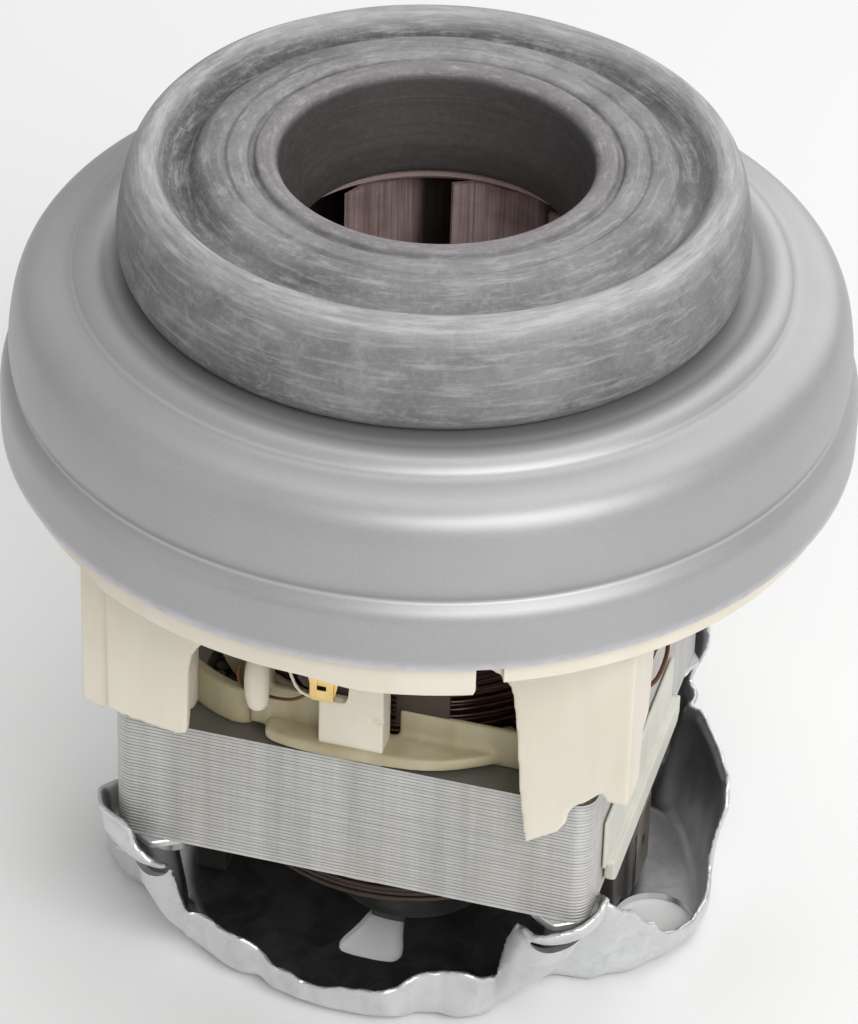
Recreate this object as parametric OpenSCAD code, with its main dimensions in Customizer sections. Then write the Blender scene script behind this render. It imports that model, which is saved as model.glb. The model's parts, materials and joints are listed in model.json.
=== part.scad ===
// Vacuum motor unit: through-flow suction motor with a pressed fan cover,
// rubber inlet seal, plastic motor housing, square laminated stator and
// pressed rear bracket. Z up, Z is the shaft axis, Z = 0 is the underside
// of the rear bracket. The brushes lie along X. Millimetres.

/* [Fan cover] */
// Outer radius of the cover skirt
cover_r = 65.5; // [65.3:0.1:66.5]
// Height of the skirt's lower rim above the base
rim_z = 93; // [92.8:0.1:93.2]
// Sheet thickness of the cover
cover_t = 1.0; // [0.8:0.1:1.1]

/* [Inlet seal] */
// Radius of the straight land in the inlet bore
inlet_r = 20.7; // [19.5:0.1:21.2]
// Height of the top of the seal above the base
top_z = 139; // [138.5:0.1:140]

/* [Fan] */
// Number of impeller vanes
vane_n = 9; // [7:1:11]
// Outer radius of the impeller
fan_r = 53.5; // [52:0.5:54]
// Number of diffuser vanes
diff_n = 15; // [11:2:19]

/* [Motor] */
// Half width of the square stator stack
stack_h = 37.5; // [37.2:0.1:37.6]
// Radius of the stator bore
bore_r = 21.2; // [21.1:0.1:21.5]
// Radius of the armature core
arm_r = 20.6; // [20.2:0.1:20.8]
// Number of commutator bars
bar_n = 24; // [20:2:28]
// Radius of the commutator running surface
com_r = 11; // [10.8:0.1:11]

/* [Rear bracket] */
// Sheet thickness of the rear bracket
br_t = 1.5; // [1.4:0.1:1.5]
// Height of the low front and rear walls
br_wall = 7; // [6.5:0.5:9]

/* [Brushes] */
// Brush width, across the shaft
brush_w = 6.4; // [6:0.1:6.4]
// Brush height, along the shaft
brush_h = 11; // [10.6:0.1:11]

/* [Hidden] */
$fn = 96;

ivory = [0.90, 0.87, 0.77];
steel = [0.72, 0.73, 0.74];
sheet = [0.68, 0.69, 0.70];
rubber = [0.33, 0.33, 0.34];
copper = [0.66, 0.36, 0.22];
brass = [0.82, 0.68, 0.36];
carbon = [0.14, 0.14, 0.15];
fanmet = [0.45, 0.36, 0.33];

zt = 52;      // top of the stator stack
zb = 28.7;    // underside of the stator stack
zc = 16;      // height of the brush axis
sc = 31.5;    // X and Y of the four bracket screws
bz1 = 78.5;   // underside of the upper bearing
bz0 = 1.6;    // underside of the lower bearing
fz = 97;      // underside of the impeller back plate

// unit vector helpers for sheet profiles
function unit(v) = v / norm(v);
function perp(v) = [-v[1], v[0]];
function inset(p, t) = [for (i = [0 : len(p) - 1])
  let (a = p[max(i - 1, 0)], b = p[min(i + 1, len(p) - 1)])
  p[i] + t * perp(unit(b - a))];
function rev(p) = [for (i = [len(p) - 1 : -1 : 0]) p[i]];

// straight round rod from p to q
module rod(p, q, r) {
  v = q - p;
  l = norm(v);
  translate(p) rotate([0, acos(v[2] / l), atan2(v[1], v[0])])
    cylinder(r = r, h = l, $fn = 24);
}

// square outline with rounded corners
module rsq(h, r) {
  union() {
    square([2 * h, 2 * (h - r)], center = true);
    square([2 * (h - r), 2 * h], center = true);
    for (a = [-1, 1], b = [-1, 1])
      translate([a * (h - r), b * (h - r)]) circle(r, $fn = 48);
  }
}

// flat ring sector, angles in degrees
module sector(r0, r1, a0, a1) {
  n = 8;
  difference() {
    intersection() {
      circle(r1);
      polygon(concat([[0, 0]], [for (i = [0 : n])
        let (a = a0 + (a1 - a0) * i / n) 1.2 * r1 * [cos(a), sin(a)]]));
    }
    circle(r0);
  }
}

// ---------- rubber inlet seal ----------
module seal_ring() {
  d = top_z - 139;
  color(rubber) rotate_extrude() polygon([
    [inlet_r, 123.4], [inlet_r, 127.4], [21.4, 129.5], [23.3, 136.6],
    [23.7, 138 + d], [24.2, 138.7 + d], [24.8, 139 + d], [27.0, 139 + d],
    [27.2, 138.3 + d], [27.7, 138.3 + d], [28.0, 138.7 + d],
    [31.2, 138.7 + d], [31.5, 138.2 + d], [31.9, 138.3 + d],
    [34.1, 138.1 + d], [35.4, 137.3 + d], [36.8, 136.8 + d],
    [38.4, 136.7 + d], [39.8, 137.1 + d], [41.2, 138.1 + d],
    [42.3, 138.8 + d], [43.2, 138.9 + d], [44.1, 138.5 + d],
    [44.8, 137.6 + d], [45.1, 136.2 + d], [45.6, 130.5], [46.05, 124.8],
    [46.3, 124.2], [46.35, 122.2], [45.4, 121.3], [43.5, 120.8],
    [28.2, 120.8], [28.2, 126.6], [26.4, 126.6], [26.4, 121.1],
    [24.4, 121.1], [22.6, 121.8], [21.1, 122.7]]);
}

// ---------- pressed fan cover ----------
module fan_cover() {
  o = cover_r - 65.5;
  p = [[65.5 + o, rim_z], [65.5 + o, 99.6], [65.3 + o, 101], [64.7 + o, 102.2],
    [63.8 + o, 103.1], [63.25 + o, 103.7], [63.7 + o, 104.6],
    [64.05 + o, 106], [64.0 + o, 108.5], [63.65 + o, 111.3],
    [63.2 + o, 113.6], [62.4 + o, 115.7], [61.1 + o, 117.3], [59.3, 118.3],
    [57.2, 118.8], [55.3, 119.05], [54.5, 119.6], [53.8, 120.5],
    [52.7, 121.1], [51.4, 121.25], [50.2, 121.05], [49.0, 120.7],
    [48.0, 120.6], [28.6, 120.6], [28.05, 121.0], [27.9, 121.6],
    [27.9, 126.2]];
  color(sheet) rotate_extrude()
    polygon(concat(p, rev(inset(p, cover_t))));
}

// ---------- diffuser ----------
module diffuser() {
  color([0.35, 0.34, 0.33]) union() {
    translate([0, 0, 93.1]) linear_extrude(2)
      difference() { circle(60.8); circle(8.5);
        for (i = [0 : 7]) rotate(i * 45) sector(20, 42, -14, 14); }
    intersection() {
      translate([0, 0, 94.6]) linear_extrude(15.4)
        difference() { circle(60.8); circle(55); }
      for (i = [0 : diff_n - 1]) rotate(i * 360 / diff_n)
        translate([57.9, 0, 94.6]) rotate(58)
          translate([-0.6, -7, 0]) cube([1.2, 14, 15.4]);
    }
  }
}

// ---------- plastic motor housing ----------
module leg_cut() {
  // outline in X and Z that is cut from each face of the leg tube
  polygon([[-60, 30], [60, 30], [60, 56.3], [40, 56.3], [36.6, 56],
    [33.8, 54.6], [33.0, 50.6], [31.6, 48.2], [29.6, 46.2], [27.9, 45],
    [27.3, 56], [26.6, 76], [26.0, 80.5], [24.4, 84], [22.4, 85.8],
    [20, 86.4], [-21, 86.4], [-23.6, 85], [-25.2, 82], [-26.1, 77],
    [-27.0, 60], [-27.2, 52.9], [-31, 50.8], [-35.6, 54], [-37.2, 56.4],
    [-39, 54.6], [-41, 54.6], [-60, 54.6]]);
}
module side_plate() {
  // outline of a corner plate in Y and Z
  polygon([[-38.8, 54.6], [-33.7, 54.6], [-32.5, 55.7], [-31.6, 64.3],
    [-28.3, 65.1], [-27.5, 72], [-26.4, 80], [-26, 90.8], [-38.8, 90.8]]);
}
module motor_housing() {
  color(ivory) difference() {
    union() {
      // flange and spigot
      rotate_extrude() polygon([[60.9, 86.5], [63.4, 86.5], [63.4, 92.7],
        [64.2, 92.9], [64.2, 97.6], [61.2, 97.6], [61.2, 92.9],
        [58, 92.9], [58, 90.2], [60.9, 89.6]]);
      // top plate with air passages
      translate([0, 0, 90.2]) linear_extrude(2.7)
        difference() { circle(60);
          for (i = [0 : 3]) rotate(i * 90) {
            sector(19, 53, 52, 82); sector(19, 53, 8, 38); } }
      // leg tube
      difference() {
        translate([0, 0, 40]) linear_extrude(51)
          difference() { rsq(40.2, 8); rsq(37.8, 6); }
        for (k = [0 : 3]) rotate(k * 90) translate([0, -36, 0])
          rotate([90, 0, 0]) linear_extrude(8) leg_cut();
      }
      // corner plates beside the stack, joined to the legs by webs
      for (a = [0, 1], b = [0, 1]) mirror([a, 0, 0]) mirror([0, b, 0]) {
        translate([41.1, 0, 0]) rotate([90, 0, 90]) linear_extrude(2.2)
          side_plate();
        translate([36.2, -38.6, 54.9]) cube([5.8, 2.2, 36]);
      }
      // screw posts in the legs
      for (a = [-1, 1], b = [-1, 1]) translate([a * sc, b * sc, zt])
        cylinder(r = 4.4, h = 38.5, $fn = 32);
      // webs from the posts to the leg walls
      for (k = [0 : 3]) rotate(k * 90) {
        translate([sc - 1, -39, zt]) cube([2, 8, 38.5]);
        translate([31, -sc - 1, zt]) cube([8, 2, 38.5]);
      }
      // bearing hub and its ribs
      translate([0, 0, 77.5]) cylinder(r = 14, h = 15.4);
      for (i = [0 : 3]) rotate(45 + i * 90)
        translate([12, -1.5, 84]) cube([34, 3, 7]);
    }
    translate([0, 0, 70]) cylinder(r = 11, h = 15.5);
    translate([0, 0, 80]) cylinder(r = 8.2, h = 20);
    for (a = [-1, 1], b = [-1, 1]) translate([a * sc, b * sc, zt - 1])
      cylinder(r = 2.0, h = 20, $fn = 32);
  }
}

// ---------- pressed rear bracket ----------
module pan(i) {
  // outline of the pan, brought in by i
  union() {
    circle(38.6 - i);
    for (s = [-1, 1]) translate([s * 33, 0]) circle(16.6 - i);
  }
}
module apron(r, a0, a1) {
  // floor under the two tall walls
  for (m = [0, 1]) mirror([m, 0]) polygon(concat([[14, 6], [14, 1]],
    [for (i = [0 : 6]) let (a = a0 + (a1 - a0) * i / 6)
      r * [cos(a), sin(a)]]));
}
module bell() {
  // bell shaped vent
  polygon([[-2.9, -12.6], [-4.0, -17.5], [-5.6, -21.5], [-5.5, -23.6],
    [-4.2, -24.8], [3.4, -24.9], [4.8, -23.7], [4.9, -21.5], [3.6, -17.5],
    [2.7, -12.6], [1.6, -11.9], [-1.8, -11.9]]);
}
module rear_bracket() {
  cheek = [[36.9, 0.4], [38.3, 0.4], [40.5, 2.4], [43.6, 7.9],
    [47.4, 14], [50.8, 19], [53.4, 24], [54.5, 28.7], [54.9, 31],
    [55.6, 33.6], [54.1, 34.1], [53.4, 31.4], [53, 29.6], [52.4, 28.7],
    [39.8, 28.7], [39.8, 27.2], [52.6, 27.2], [51.9, 24.6], [49.5, 20],
    [46.2, 15], [42.3, 8.6], [39, 2.7], [36.9, 1.2]];
  tall = [[48.7, 0.4], [49.7, 0.4], [50.6, 9], [51.6, 17], [52.2, 29],
    [52.0, 30.4], [50.9, 30.4], [50.7, 29], [50.1, 17], [49.1, 9],
    [48.6, 1.2]];
  color(steel) union() {
    difference() {
      union() {
        difference() {
          union() {
            linear_extrude(br_wall) pan(0);
            linear_extrude(br_t) apron(49.2, 2.3, 41);
          }
          translate([0, 0, br_t]) linear_extrude(12)
            union() { pan(br_t); apron(53, 0.8, 38.3); }
        }
        translate([0, 0, 1]) cylinder(r = 12.4, h = 7.8);
      }
      translate([0, 0, br_t]) cylinder(r = 11, h = 10);
      translate([0, 0, -1]) cylinder(r = 4.6, h = 10, $fn = 48);
      for (a = [0, 180]) rotate(a) translate([-0.6, 0, -1])
        linear_extrude(6) bell();
      for (s = [-1, 1]) translate([s * 41.4, -1.5, -1])
        cylinder(r = 6.3, h = 6, $fn = 64);
      for (k = [1, 3, 5, 7]) rotate(k * 45) translate([28, 0, -1])
        cylinder(r = 4.5, h = 6, $fn = 48);
    }
    for (k = [0 : 3]) rotate(45 + k * 90) difference() {
      rotate(-10) rotate_extrude(angle = 20) polygon(cheek);
      translate([sc * sqrt(2), 0, 20]) cylinder(r = 2.2, h = 12, $fn = 32);
      // half moon under the lip
      intersection() {
        translate([48, 0, 27]) rotate([0, 90, 0])
          cylinder(r = 5, h = 12, $fn = 48);
        translate([47, -8, 20]) cube([14, 16, 6.9]);
      }
      // rounded shoulders of the lip
      difference() {
        translate([50.3, -15, 26.5]) cube([8, 30, 12]);
        translate([49, 0, 24]) rotate([0, 90, 0])
          cylinder(r = 11, h = 12, $fn = 64);
      }
    }
    rotate(-7) rotate_extrude(angle = 44) polygon(tall);
    rotate(143) rotate_extrude(angle = 34) polygon(tall);
  }
}

// ---------- stator ----------
module pocket(i) {
  polygon([[13.8 + i, 18 + i], [13.8 + i, 28.8 - i], [27.6 - i, 28.8 - i],
    [29 - i, 27.4 - i], [29 - i, 9.5 + i], [22.5 + i, 9.5 + i]]);
}
module stator_core() {
  color(steel) translate([0, 0, zb]) linear_extrude(zt - zb)
    difference() {
      rsq(stack_h, 6);
      circle(bore_r);
      for (a = [-1, 1], b = [-1, 1]) {
        scale([1, 1]) mirror([a < 0 ? 1 : 0, 0]) mirror([0, b < 0 ? 1 : 0])
          difference() { pocket(0); circle(24.6); }
        translate([a * sc, b * sc]) circle(2.2, $fn = 32);
      }
      square([50, 17], center = true);
    }
}
module coil() {
  for (a = [-1, 1]) mirror([a < 0 ? 1 : 0, 0, 0]) {
    translate([0, 0, 28.9]) linear_extrude(22.9)
      difference() { pocket(0.8); circle(25.4); }
    translate([0, 0, 26.9]) linear_extrude(26.9) intersection() {
      difference() { pocket(0.85); circle(25.45); }
      circle(30.9);
    }
  }
  for (z = [19.6, 53.3]) translate([0, 0, z]) linear_extrude(7.9)
    sector(24, 31.2, 21, 159);
}
module stator_coils() {
  color(copper) for (s = [0, 180]) rotate(s) coil();
}
module insulator_arcs(z0, z1, o0, b0) {
  for (s = [0, 180]) rotate(s) {
    translate([0, 0, o0]) linear_extrude(z1 - o0)
      sector(31.5, 33, 19, 161);
    translate([0, 0, z0]) linear_extrude(z1 - z0)
      sector(22.3, 23.6, 24, 156);
    translate([0, 0, b0]) linear_extrude(1.1) difference() {
      sector(22.3, 33, 19, 161);
      for (a = [-1, 1]) mirror([a < 0 ? 1 : 0, 0])
        difference() { pocket(0.7); circle(25.2); }
    }
  }
}
module upper_coil_insulator() {
  color(ivory) insulator_arcs(zt, 62.6, zt, zt);
}
module lower_coil_insulator() {
  color(ivory) insulator_arcs(18.6, zb, 24.2, zb - 1.1);
}
module terminal_blocks() {
  color(ivory) for (s = [0, 180]) rotate(s) difference() {
    union() {
      translate([-5.4, -37.6, zt]) cube([10, 4.5, 17.2]);
      translate([-5.4, -37.6, zt]) cube([31, 4.5, 1.2]);
    }
    translate([-4.4, -39, 64.5]) cube([5.6, 8, 8]);
    translate([-6, -36.6, 66.8]) cube([12, 4, 8]);
  }
}
module brass_terminals() {
  color(brass) for (s = [0, 180]) rotate(s) difference() {
    translate([-4.3, -38.2, 64.6]) cube([5.4, 5.2, 5.6]);
    translate([-3.5, -39, 65.6]) cube([3.8, 8, 8]);
    translate([-6, -36.6, 67.6]) cube([10, 2, 8]);
  }
}
module winding_leads() {
  color([0.42, 0.2, 0.1]) for (s = [0, 180]) rotate(s) {
    rod([-17, -28, 63.4], [-2.6, -36.2, 69], 0.45);
    rod([16, -28, 64], [-0.6, -36, 69.2], 0.45);
  }
}
module bracket_screws() {
  color(steel) for (a = [-1, 1], b = [-1, 1]) translate([a * sc, b * sc, 0])
    union() {
      translate([0, 0, 24.4]) difference() {
        cylinder(r = 3.6, h = 2.8, $fn = 48);
        translate([0, 0, -1]) cylinder(r = 1.7, h = 2.4, $fn = 6);
      }
      translate([0, 0, 26]) cylinder(r = 1.95, h = 42, $fn = 32);
    }
}

// ---------- ball bearings, 8 x 22 x 7 ----------
module outer_race(z) {
  translate([0, 0, z]) rotate_extrude() difference() {
    translate([8.9, 0]) square([2.1, 7]);
    translate([7.65, 3.5]) circle(2.3, $fn = 48);
  }
}
module inner_race(z) {
  translate([0, 0, z]) rotate_extrude() difference() {
    translate([4, 0]) square([2.4, 7]);
    translate([7.65, 3.5]) circle(2.3, $fn = 48);
  }
}
module balls(z) {
  for (i = [0 : 6]) rotate(i * 360 / 7) translate([7.65, 0, z + 3.5])
    sphere(r = 1.985, $fn = 32);
}
module cage(z) {
  difference() {
    translate([0, 0, z + 0.9]) linear_extrude(5.2)
      difference() { circle(8.1); circle(7.2); }
    for (i = [0 : 6]) rotate(i * 360 / 7) translate([7.65, 0, z + 3.5])
      sphere(r = 2.04, $fn = 32);
  }
}
module upper_bearing_outer_race() { color(steel) outer_race(bz1); }
module upper_bearing_inner_race() { color(steel) inner_race(bz1); }
module upper_bearing_balls() { color(steel) balls(bz1); }
module upper_bearing_cage() { color(brass) cage(bz1); }
module lower_bearing_outer_race() { color(steel) outer_race(bz0); }
module lower_bearing_inner_race() { color(steel) inner_race(bz0); }
module lower_bearing_balls() { color(steel) balls(bz0); }
module lower_bearing_cage() { color(brass) cage(bz0); }

// ---------- rotor ----------
module shaft() {
  color(steel) translate([0, 0, bz0 + 0.2]) union() {
    cylinder(r = 4, h = 106);
    translate([0, 0, 106]) cylinder(r = 3.4, h = 0.8);
  }
}
module arm2d(r) {
  difference() {
    circle(r);
    circle(4);
    for (i = [0 : 11]) rotate(i * 30) {
      translate([14.8, 0]) circle(2.7, $fn = 32);
      translate([14.8, -1.1]) square([8, 2.2]);
    }
  }
}
module armature_core() {
  color(steel) translate([0, 0, zb]) linear_extrude(zt - zb) arm2d(arm_r);
}
module armature_end_insulators() {
  color([0.72, 0.62, 0.42]) for (z = [zt, zb - 1])
    translate([0, 0, z]) linear_extrude(1) arm2d(arm_r - 0.4);
}
module armature_winding() {
  color(copper) union() {
    for (i = [0 : 11]) rotate(i * 30) translate([14.8, 0, zb - 1.4])
      cylinder(r = 2.5, h = zt - zb + 2.8, $fn = 32);
    rotate_extrude() polygon([[7.5, 53.1], [17.7, 53.1], [18.4, 54.5],
      [18.1, 57.6], [16.4, 60.2], [13, 61.4], [9, 61], [7.5, 59.4]]);
    rotate_extrude() polygon([[7.4, 27.6], [17.7, 27.6], [18.2, 26.6],
      [17.6, 25.1], [15.6, 24.2], [12.6, 23.7], [7.4, 23.7]]);
  }
}
module commutator_bars() {
  color(copper) difference() {
    rotate_extrude() polygon([[7, 9.8], [com_r, 9.8], [com_r, 21.9],
      [12.2, 21.9], [12.2, 23.3], [7, 23.3]]);
    for (i = [0 : bar_n - 1]) rotate(i * 360 / bar_n)
      translate([5, -0.3, 9]) cube([9, 0.6, 16]);
  }
}
module commutator_hub() {
  color([0.25, 0.14, 0.1]) translate([0, 0, 9.2])
    difference() { cylinder(r = 7, h = 14.3); 
      translate([0, 0, -1]) cylinder(r = 4, h = 20); }
}

// ---------- fan group ----------
module annulus(z, h, r0, r1) {
  translate([0, 0, z]) difference() {
    cylinder(r = r1, h = h);
    translate([0, 0, -1]) cylinder(r = r0, h = h + 2);
  }
}
module fan_spacer() { color(steel) annulus(85.6, 10.4, 4, 6.5); }
module fan_clamp_washer_lower() { color(steel) annulus(96, 1, 4, 9); }
module impeller_back_plate() { color(fanmet) annulus(fz, 1, 4, fan_r); }
module impeller_vanes() {
  color(fanmet) intersection() {
    for (i = [0 : vane_n - 1]) rotate(i * 360 / vane_n)
      translate([0, 0, 98]) linear_extrude(22) intersection() {
        translate([32, 0]) difference() { circle(26.5); circle(25.6); }
        translate([0, -60]) square([60, 60]);
      }
    rotate_extrude() polygon([[17, 98], [fan_r - 0.5, 98],
      [fan_r - 0.5, 110.6], [27, 117.2], [24.7, 118.2], [20.2, 118.4]]);
  }
}
module impeller_front_plate() {
  color(fanmet) rotate_extrude() polygon([[24.6, 120.2], [25.5, 120.2],
    [25.7, 118.9], [27.1, 118.1], [fan_r, 111.45], [fan_r, 110.5],
    [27, 117.2], [24.6, 118.25]]);
}
module fan_clamp_washer_upper() { color(steel) annulus(98, 1.2, 4, 9); }
module fan_nut() {
  color(steel) translate([0, 0, 99.2]) difference() {
    cylinder(r = 7.5, h = 6.3, $fn = 6);
    translate([0, 0, -1]) cylinder(r = 4, h = 9);
  }
}

// ---------- brush gear, drawn for the +X side ----------
module holder() {
  difference() {
    union() {
      translate([26, -6.8, zc - 7.6]) cube([14, 13.6, 17.4]);
      translate([33.4, -13, zc - 8]) cube([3, 26, 18.6]);
      for (s = [-1, 1]) translate([28.5, s > 0 ? 7.8 : -12.2, br_t])
        cube([5.6, 4.4, zc - 6 - br_t]);
      translate([26, -12.2, zc - 7.6]) cube([8, 24.4, 2.4]);
      // outside rail along the stack
      translate([37.7, -31, 29]) cube([1.7, 52, 5.4]);
      translate([36, -13, 23.4]) cube([3.4, 26, 3.2]);
      translate([37.7, -13, 25]) cube([1.7, 26, 6]);
    }
    translate([20, -3.8, zc - 6.2]) cube([30, 7.6, 12.4]);
  }
}
module tube() {
  difference() {
    translate([14, -3.8, zc - 6.2]) cube([24, 7.6, 12.4]);
    translate([10, -brush_w / 2 - 0.1, zc - brush_h / 2 - 0.1])
      cube([40, brush_w + 0.2, brush_h + 0.2]);
  }
}
module brush() {
  difference() {
    translate([9, -brush_w / 2, zc - brush_h / 2])
      cube([20.3, brush_w, brush_h]);
    translate([0, 0, 5]) cylinder(r = com_r + 0.3, h = 25);
  }
}
module spring() {
  translate([29.5, 0, zc]) rotate([0, 90, 0]) difference() {
    cylinder(r = 2.7, h = 7, $fn = 48);
    translate([0, 0, -1]) cylinder(r = 1.9, h = 9, $fn = 48);
  }
}
module lead() {
  translate([29.4, 0, zc]) rotate([0, 90, 0])
    cylinder(r = 0.8, h = 7.0, $fn = 24);
}
module endcap() {
  union() {
    translate([36.6, -3.2, zc - 5.4]) cube([1.6, 6.4, 10.8]);
    translate([38, -3.8, zc - 6.2]) cube([0.7, 7.6, 12.4]);
  }
}
module brush_holder_right() { color(ivory) holder(); }
module brush_tube_right() { color(brass) tube(); }
module carbon_brush_right() { color(carbon) brush(); }
module brush_spring_right() { color(steel) spring(); }
module brush_lead_right() { color(copper) lead(); }
module brush_end_cap_right() { color(brass) endcap(); }
module brush_holder_left() { color(ivory) mirror([1, 0, 0]) holder(); }
module brush_tube_left() { color(brass) mirror([1, 0, 0]) tube(); }
module carbon_brush_left() { color(carbon) mirror([1, 0, 0]) brush(); }
module brush_spring_left() { color(steel) mirror([1, 0, 0]) spring(); }
module brush_lead_left() { color(copper) mirror([1, 0, 0]) lead(); }
module brush_end_cap_left() { color(brass) mirror([1, 0, 0]) endcap(); }

seal_ring();
fan_cover();
diffuser();
motor_housing();
rear_bracket();
stator_core();
stator_coils();
upper_coil_insulator();
lower_coil_insulator();
terminal_blocks();
brass_terminals();
winding_leads();
bracket_screws();
upper_bearing_outer_race();
upper_bearing_inner_race();
upper_bearing_balls();
upper_bearing_cage();
lower_bearing_outer_race();
lower_bearing_inner_race();
lower_bearing_balls();
lower_bearing_cage();
shaft();
armature_core();
armature_winding();
armature_end_insulators();
commutator_bars();
commutator_hub();
fan_spacer();
fan_clamp_washer_lower();
impeller_back_plate();
impeller_vanes();
impeller_front_plate();
fan_clamp_washer_upper();
fan_nut();
brush_holder_right();
brush_tube_right();
carbon_brush_right();
brush_spring_right();
brush_lead_right();
brush_end_cap_right();
brush_holder_left();
brush_tube_left();
carbon_brush_left();
brush_spring_left();
brush_lead_left();
brush_end_cap_left();
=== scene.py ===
import bpy
import bmesh
import json
import math
import numpy as np
from mathutils import Vector, Matrix


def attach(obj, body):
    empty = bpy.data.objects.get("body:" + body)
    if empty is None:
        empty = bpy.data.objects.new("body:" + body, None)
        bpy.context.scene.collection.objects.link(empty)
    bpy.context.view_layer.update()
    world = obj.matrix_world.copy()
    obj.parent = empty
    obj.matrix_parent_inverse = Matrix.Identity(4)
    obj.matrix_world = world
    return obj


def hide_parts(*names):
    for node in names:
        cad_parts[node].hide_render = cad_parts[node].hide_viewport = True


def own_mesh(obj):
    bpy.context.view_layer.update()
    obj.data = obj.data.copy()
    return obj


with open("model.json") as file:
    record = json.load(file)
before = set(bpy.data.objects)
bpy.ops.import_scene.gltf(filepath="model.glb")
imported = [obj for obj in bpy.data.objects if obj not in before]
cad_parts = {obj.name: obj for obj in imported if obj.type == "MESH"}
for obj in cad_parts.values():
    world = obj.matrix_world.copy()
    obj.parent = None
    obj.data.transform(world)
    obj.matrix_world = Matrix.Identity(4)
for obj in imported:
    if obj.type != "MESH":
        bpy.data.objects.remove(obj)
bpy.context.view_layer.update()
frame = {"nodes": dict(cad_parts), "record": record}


NODES = frame["nodes"]
MM = 0.001
rng = np.random.default_rng(7)


# ------------------------------------------------------------ mesh helpers
def add(name, verts, faces, mat, body="frame", slot=None, rep=(), sharp=32, smooth=True):
    me = bpy.data.meshes.new(name)
    me.from_pydata([(v[0] * MM, v[1] * MM, v[2] * MM) for v in verts], [], [tuple(int(i) for i in f) for f in faces])
    me.validate()
    me.update()
    ob = bpy.data.objects.new(name, me)
    bpy.context.scene.collection.objects.link(ob)
    finish_mesh(ob, mat, sharp, smooth)
    settle(ob, body, rep)
    return ob


def finish_mesh(ob, mat=None, sharp=32, smooth=True):
    me = ob.data
    bm = bmesh.new()
    bm.from_mesh(me)
    bmesh.ops.recalc_face_normals(bm, faces=bm.faces)
    bm.to_mesh(me)
    bm.free()
    me.polygons.foreach_set("use_smooth", [smooth] * len(me.polygons))
    if smooth and sharp:
        me.set_sharp_from_angle(angle=math.radians(sharp))
    if mat is not None:
        me.materials.clear()
        me.materials.append(mat)
    me.update()


def settle(ob, body, rep=()):
    if body:
        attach(ob, body)
    if rep:
        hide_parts(*rep)


def chaikin(pts, times=1, closed=False):
    p = [np.array(q, float) for q in pts]
    for _ in range(times):
        out = []
        n = len(p)
        rngi = range(n if closed else n - 1)
        if not closed:
            out.append(p[0])
        for i in rngi:
            a, b = p[i], p[(i + 1) % n]
            out.append(a * 0.75 + b * 0.25)
            out.append(a * 0.25 + b * 0.75)
        if not closed:
            out.append(p[-1])
        p = out
    return p


def fillet(pts, r, seg=5, closed=True):
    """Rounds each corner of an outline with an arc. r is one radius or one per corner."""
    n = len(pts)
    rs = [r] * n if np.isscalar(r) else list(r)
    P = [np.array(p, float) for p in pts]
    out = []
    for i in range(n):
        if not closed and i in (0, n - 1):
            out.append(P[i])
            continue
        a, b, c = P[i - 1], P[i], P[(i + 1) % n]
        u, w = a - b, c - b
        lu, lw = np.linalg.norm(u), np.linalg.norm(w)
        if rs[i] <= 0 or lu < 1e-9 or lw < 1e-9:
            out.append(b)
            continue
        u, w = u / lu, w / lw
        cosang = float(np.clip(u @ w, -1, 1))
        half = math.acos(cosang) / 2
        if half > math.radians(88.5):
            out.append(b)
            continue
        d = min(rs[i] / math.tan(half), 0.48 * lu, 0.48 * lw)
        rr = d * math.tan(half)
        bis = u + w
        bis = bis / np.linalg.norm(bis)
        cen = b + bis * (rr / math.sin(half))
        s, e = b + u * d, b + w * d
        vs, ve = s - cen, e - cen
        a0 = math.atan2(vs[1], vs[0])
        a1 = math.atan2(ve[1], ve[0])
        da = (a1 - a0 + math.pi) % (2 * math.pi) - math.pi
        for k in range(seg + 1):
            t = a0 + da * k / seg
            out.append(cen + rr * np.array([math.cos(t), math.sin(t)]))
    return out


def lathe_data(prof, n=240, closed=True, wob=None):
    m = len(prof)
    verts, faces = [], []
    for i in range(n):
        a = 2 * math.pi * i / n
        ca, sa = math.cos(a), math.sin(a)
        for j, (r, z) in enumerate(prof):
            if wob:
                r, z = wob(a, r, z, j)
            verts.append((r * ca, r * sa, z))
    for i in range(n):
        k = (i + 1) % n
        for j in range(m if closed else m - 1):
            l = (j + 1) % m
            faces.append((i * m + j, k * m + j, k * m + l, i * m + l))
    return verts, faces


def lathe(name, prof, mat, n=240, closed=True, wob=None, **kw):
    v, f = lathe_data(prof, n, closed, wob)
    return add(name, v, f, mat, **kw)


def prism_data(outline, z0, z1, bev=0.0):
    """Upright prism over an outline (counterclockwise), with small chamfers at both ends."""
    n = len(outline)
    P = [np.array(p, float) for p in outline]
    rings = []
    if bev > 0:
        ins = inset(P, bev)
        rings = [(ins, z0), (P, z0 + bev), (P, z1 - bev), (ins, z1)]
    else:
        rings = [(P, z0), (P, z1)]
    verts, faces = [], []
    for ring, z in rings:
        verts += [(q[0], q[1], z) for q in ring]
    for k in range(len(rings) - 1):
        for i in range(n):
            j = (i + 1) % n
            faces.append((k * n + i, k * n + j, (k + 1) * n + j, (k + 1) * n + i))
    faces.append(tuple(range(n - 1, -1, -1)))
    last = (len(rings) - 1) * n
    faces.append(tuple(range(last, last + n)))
    return verts, faces


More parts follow.
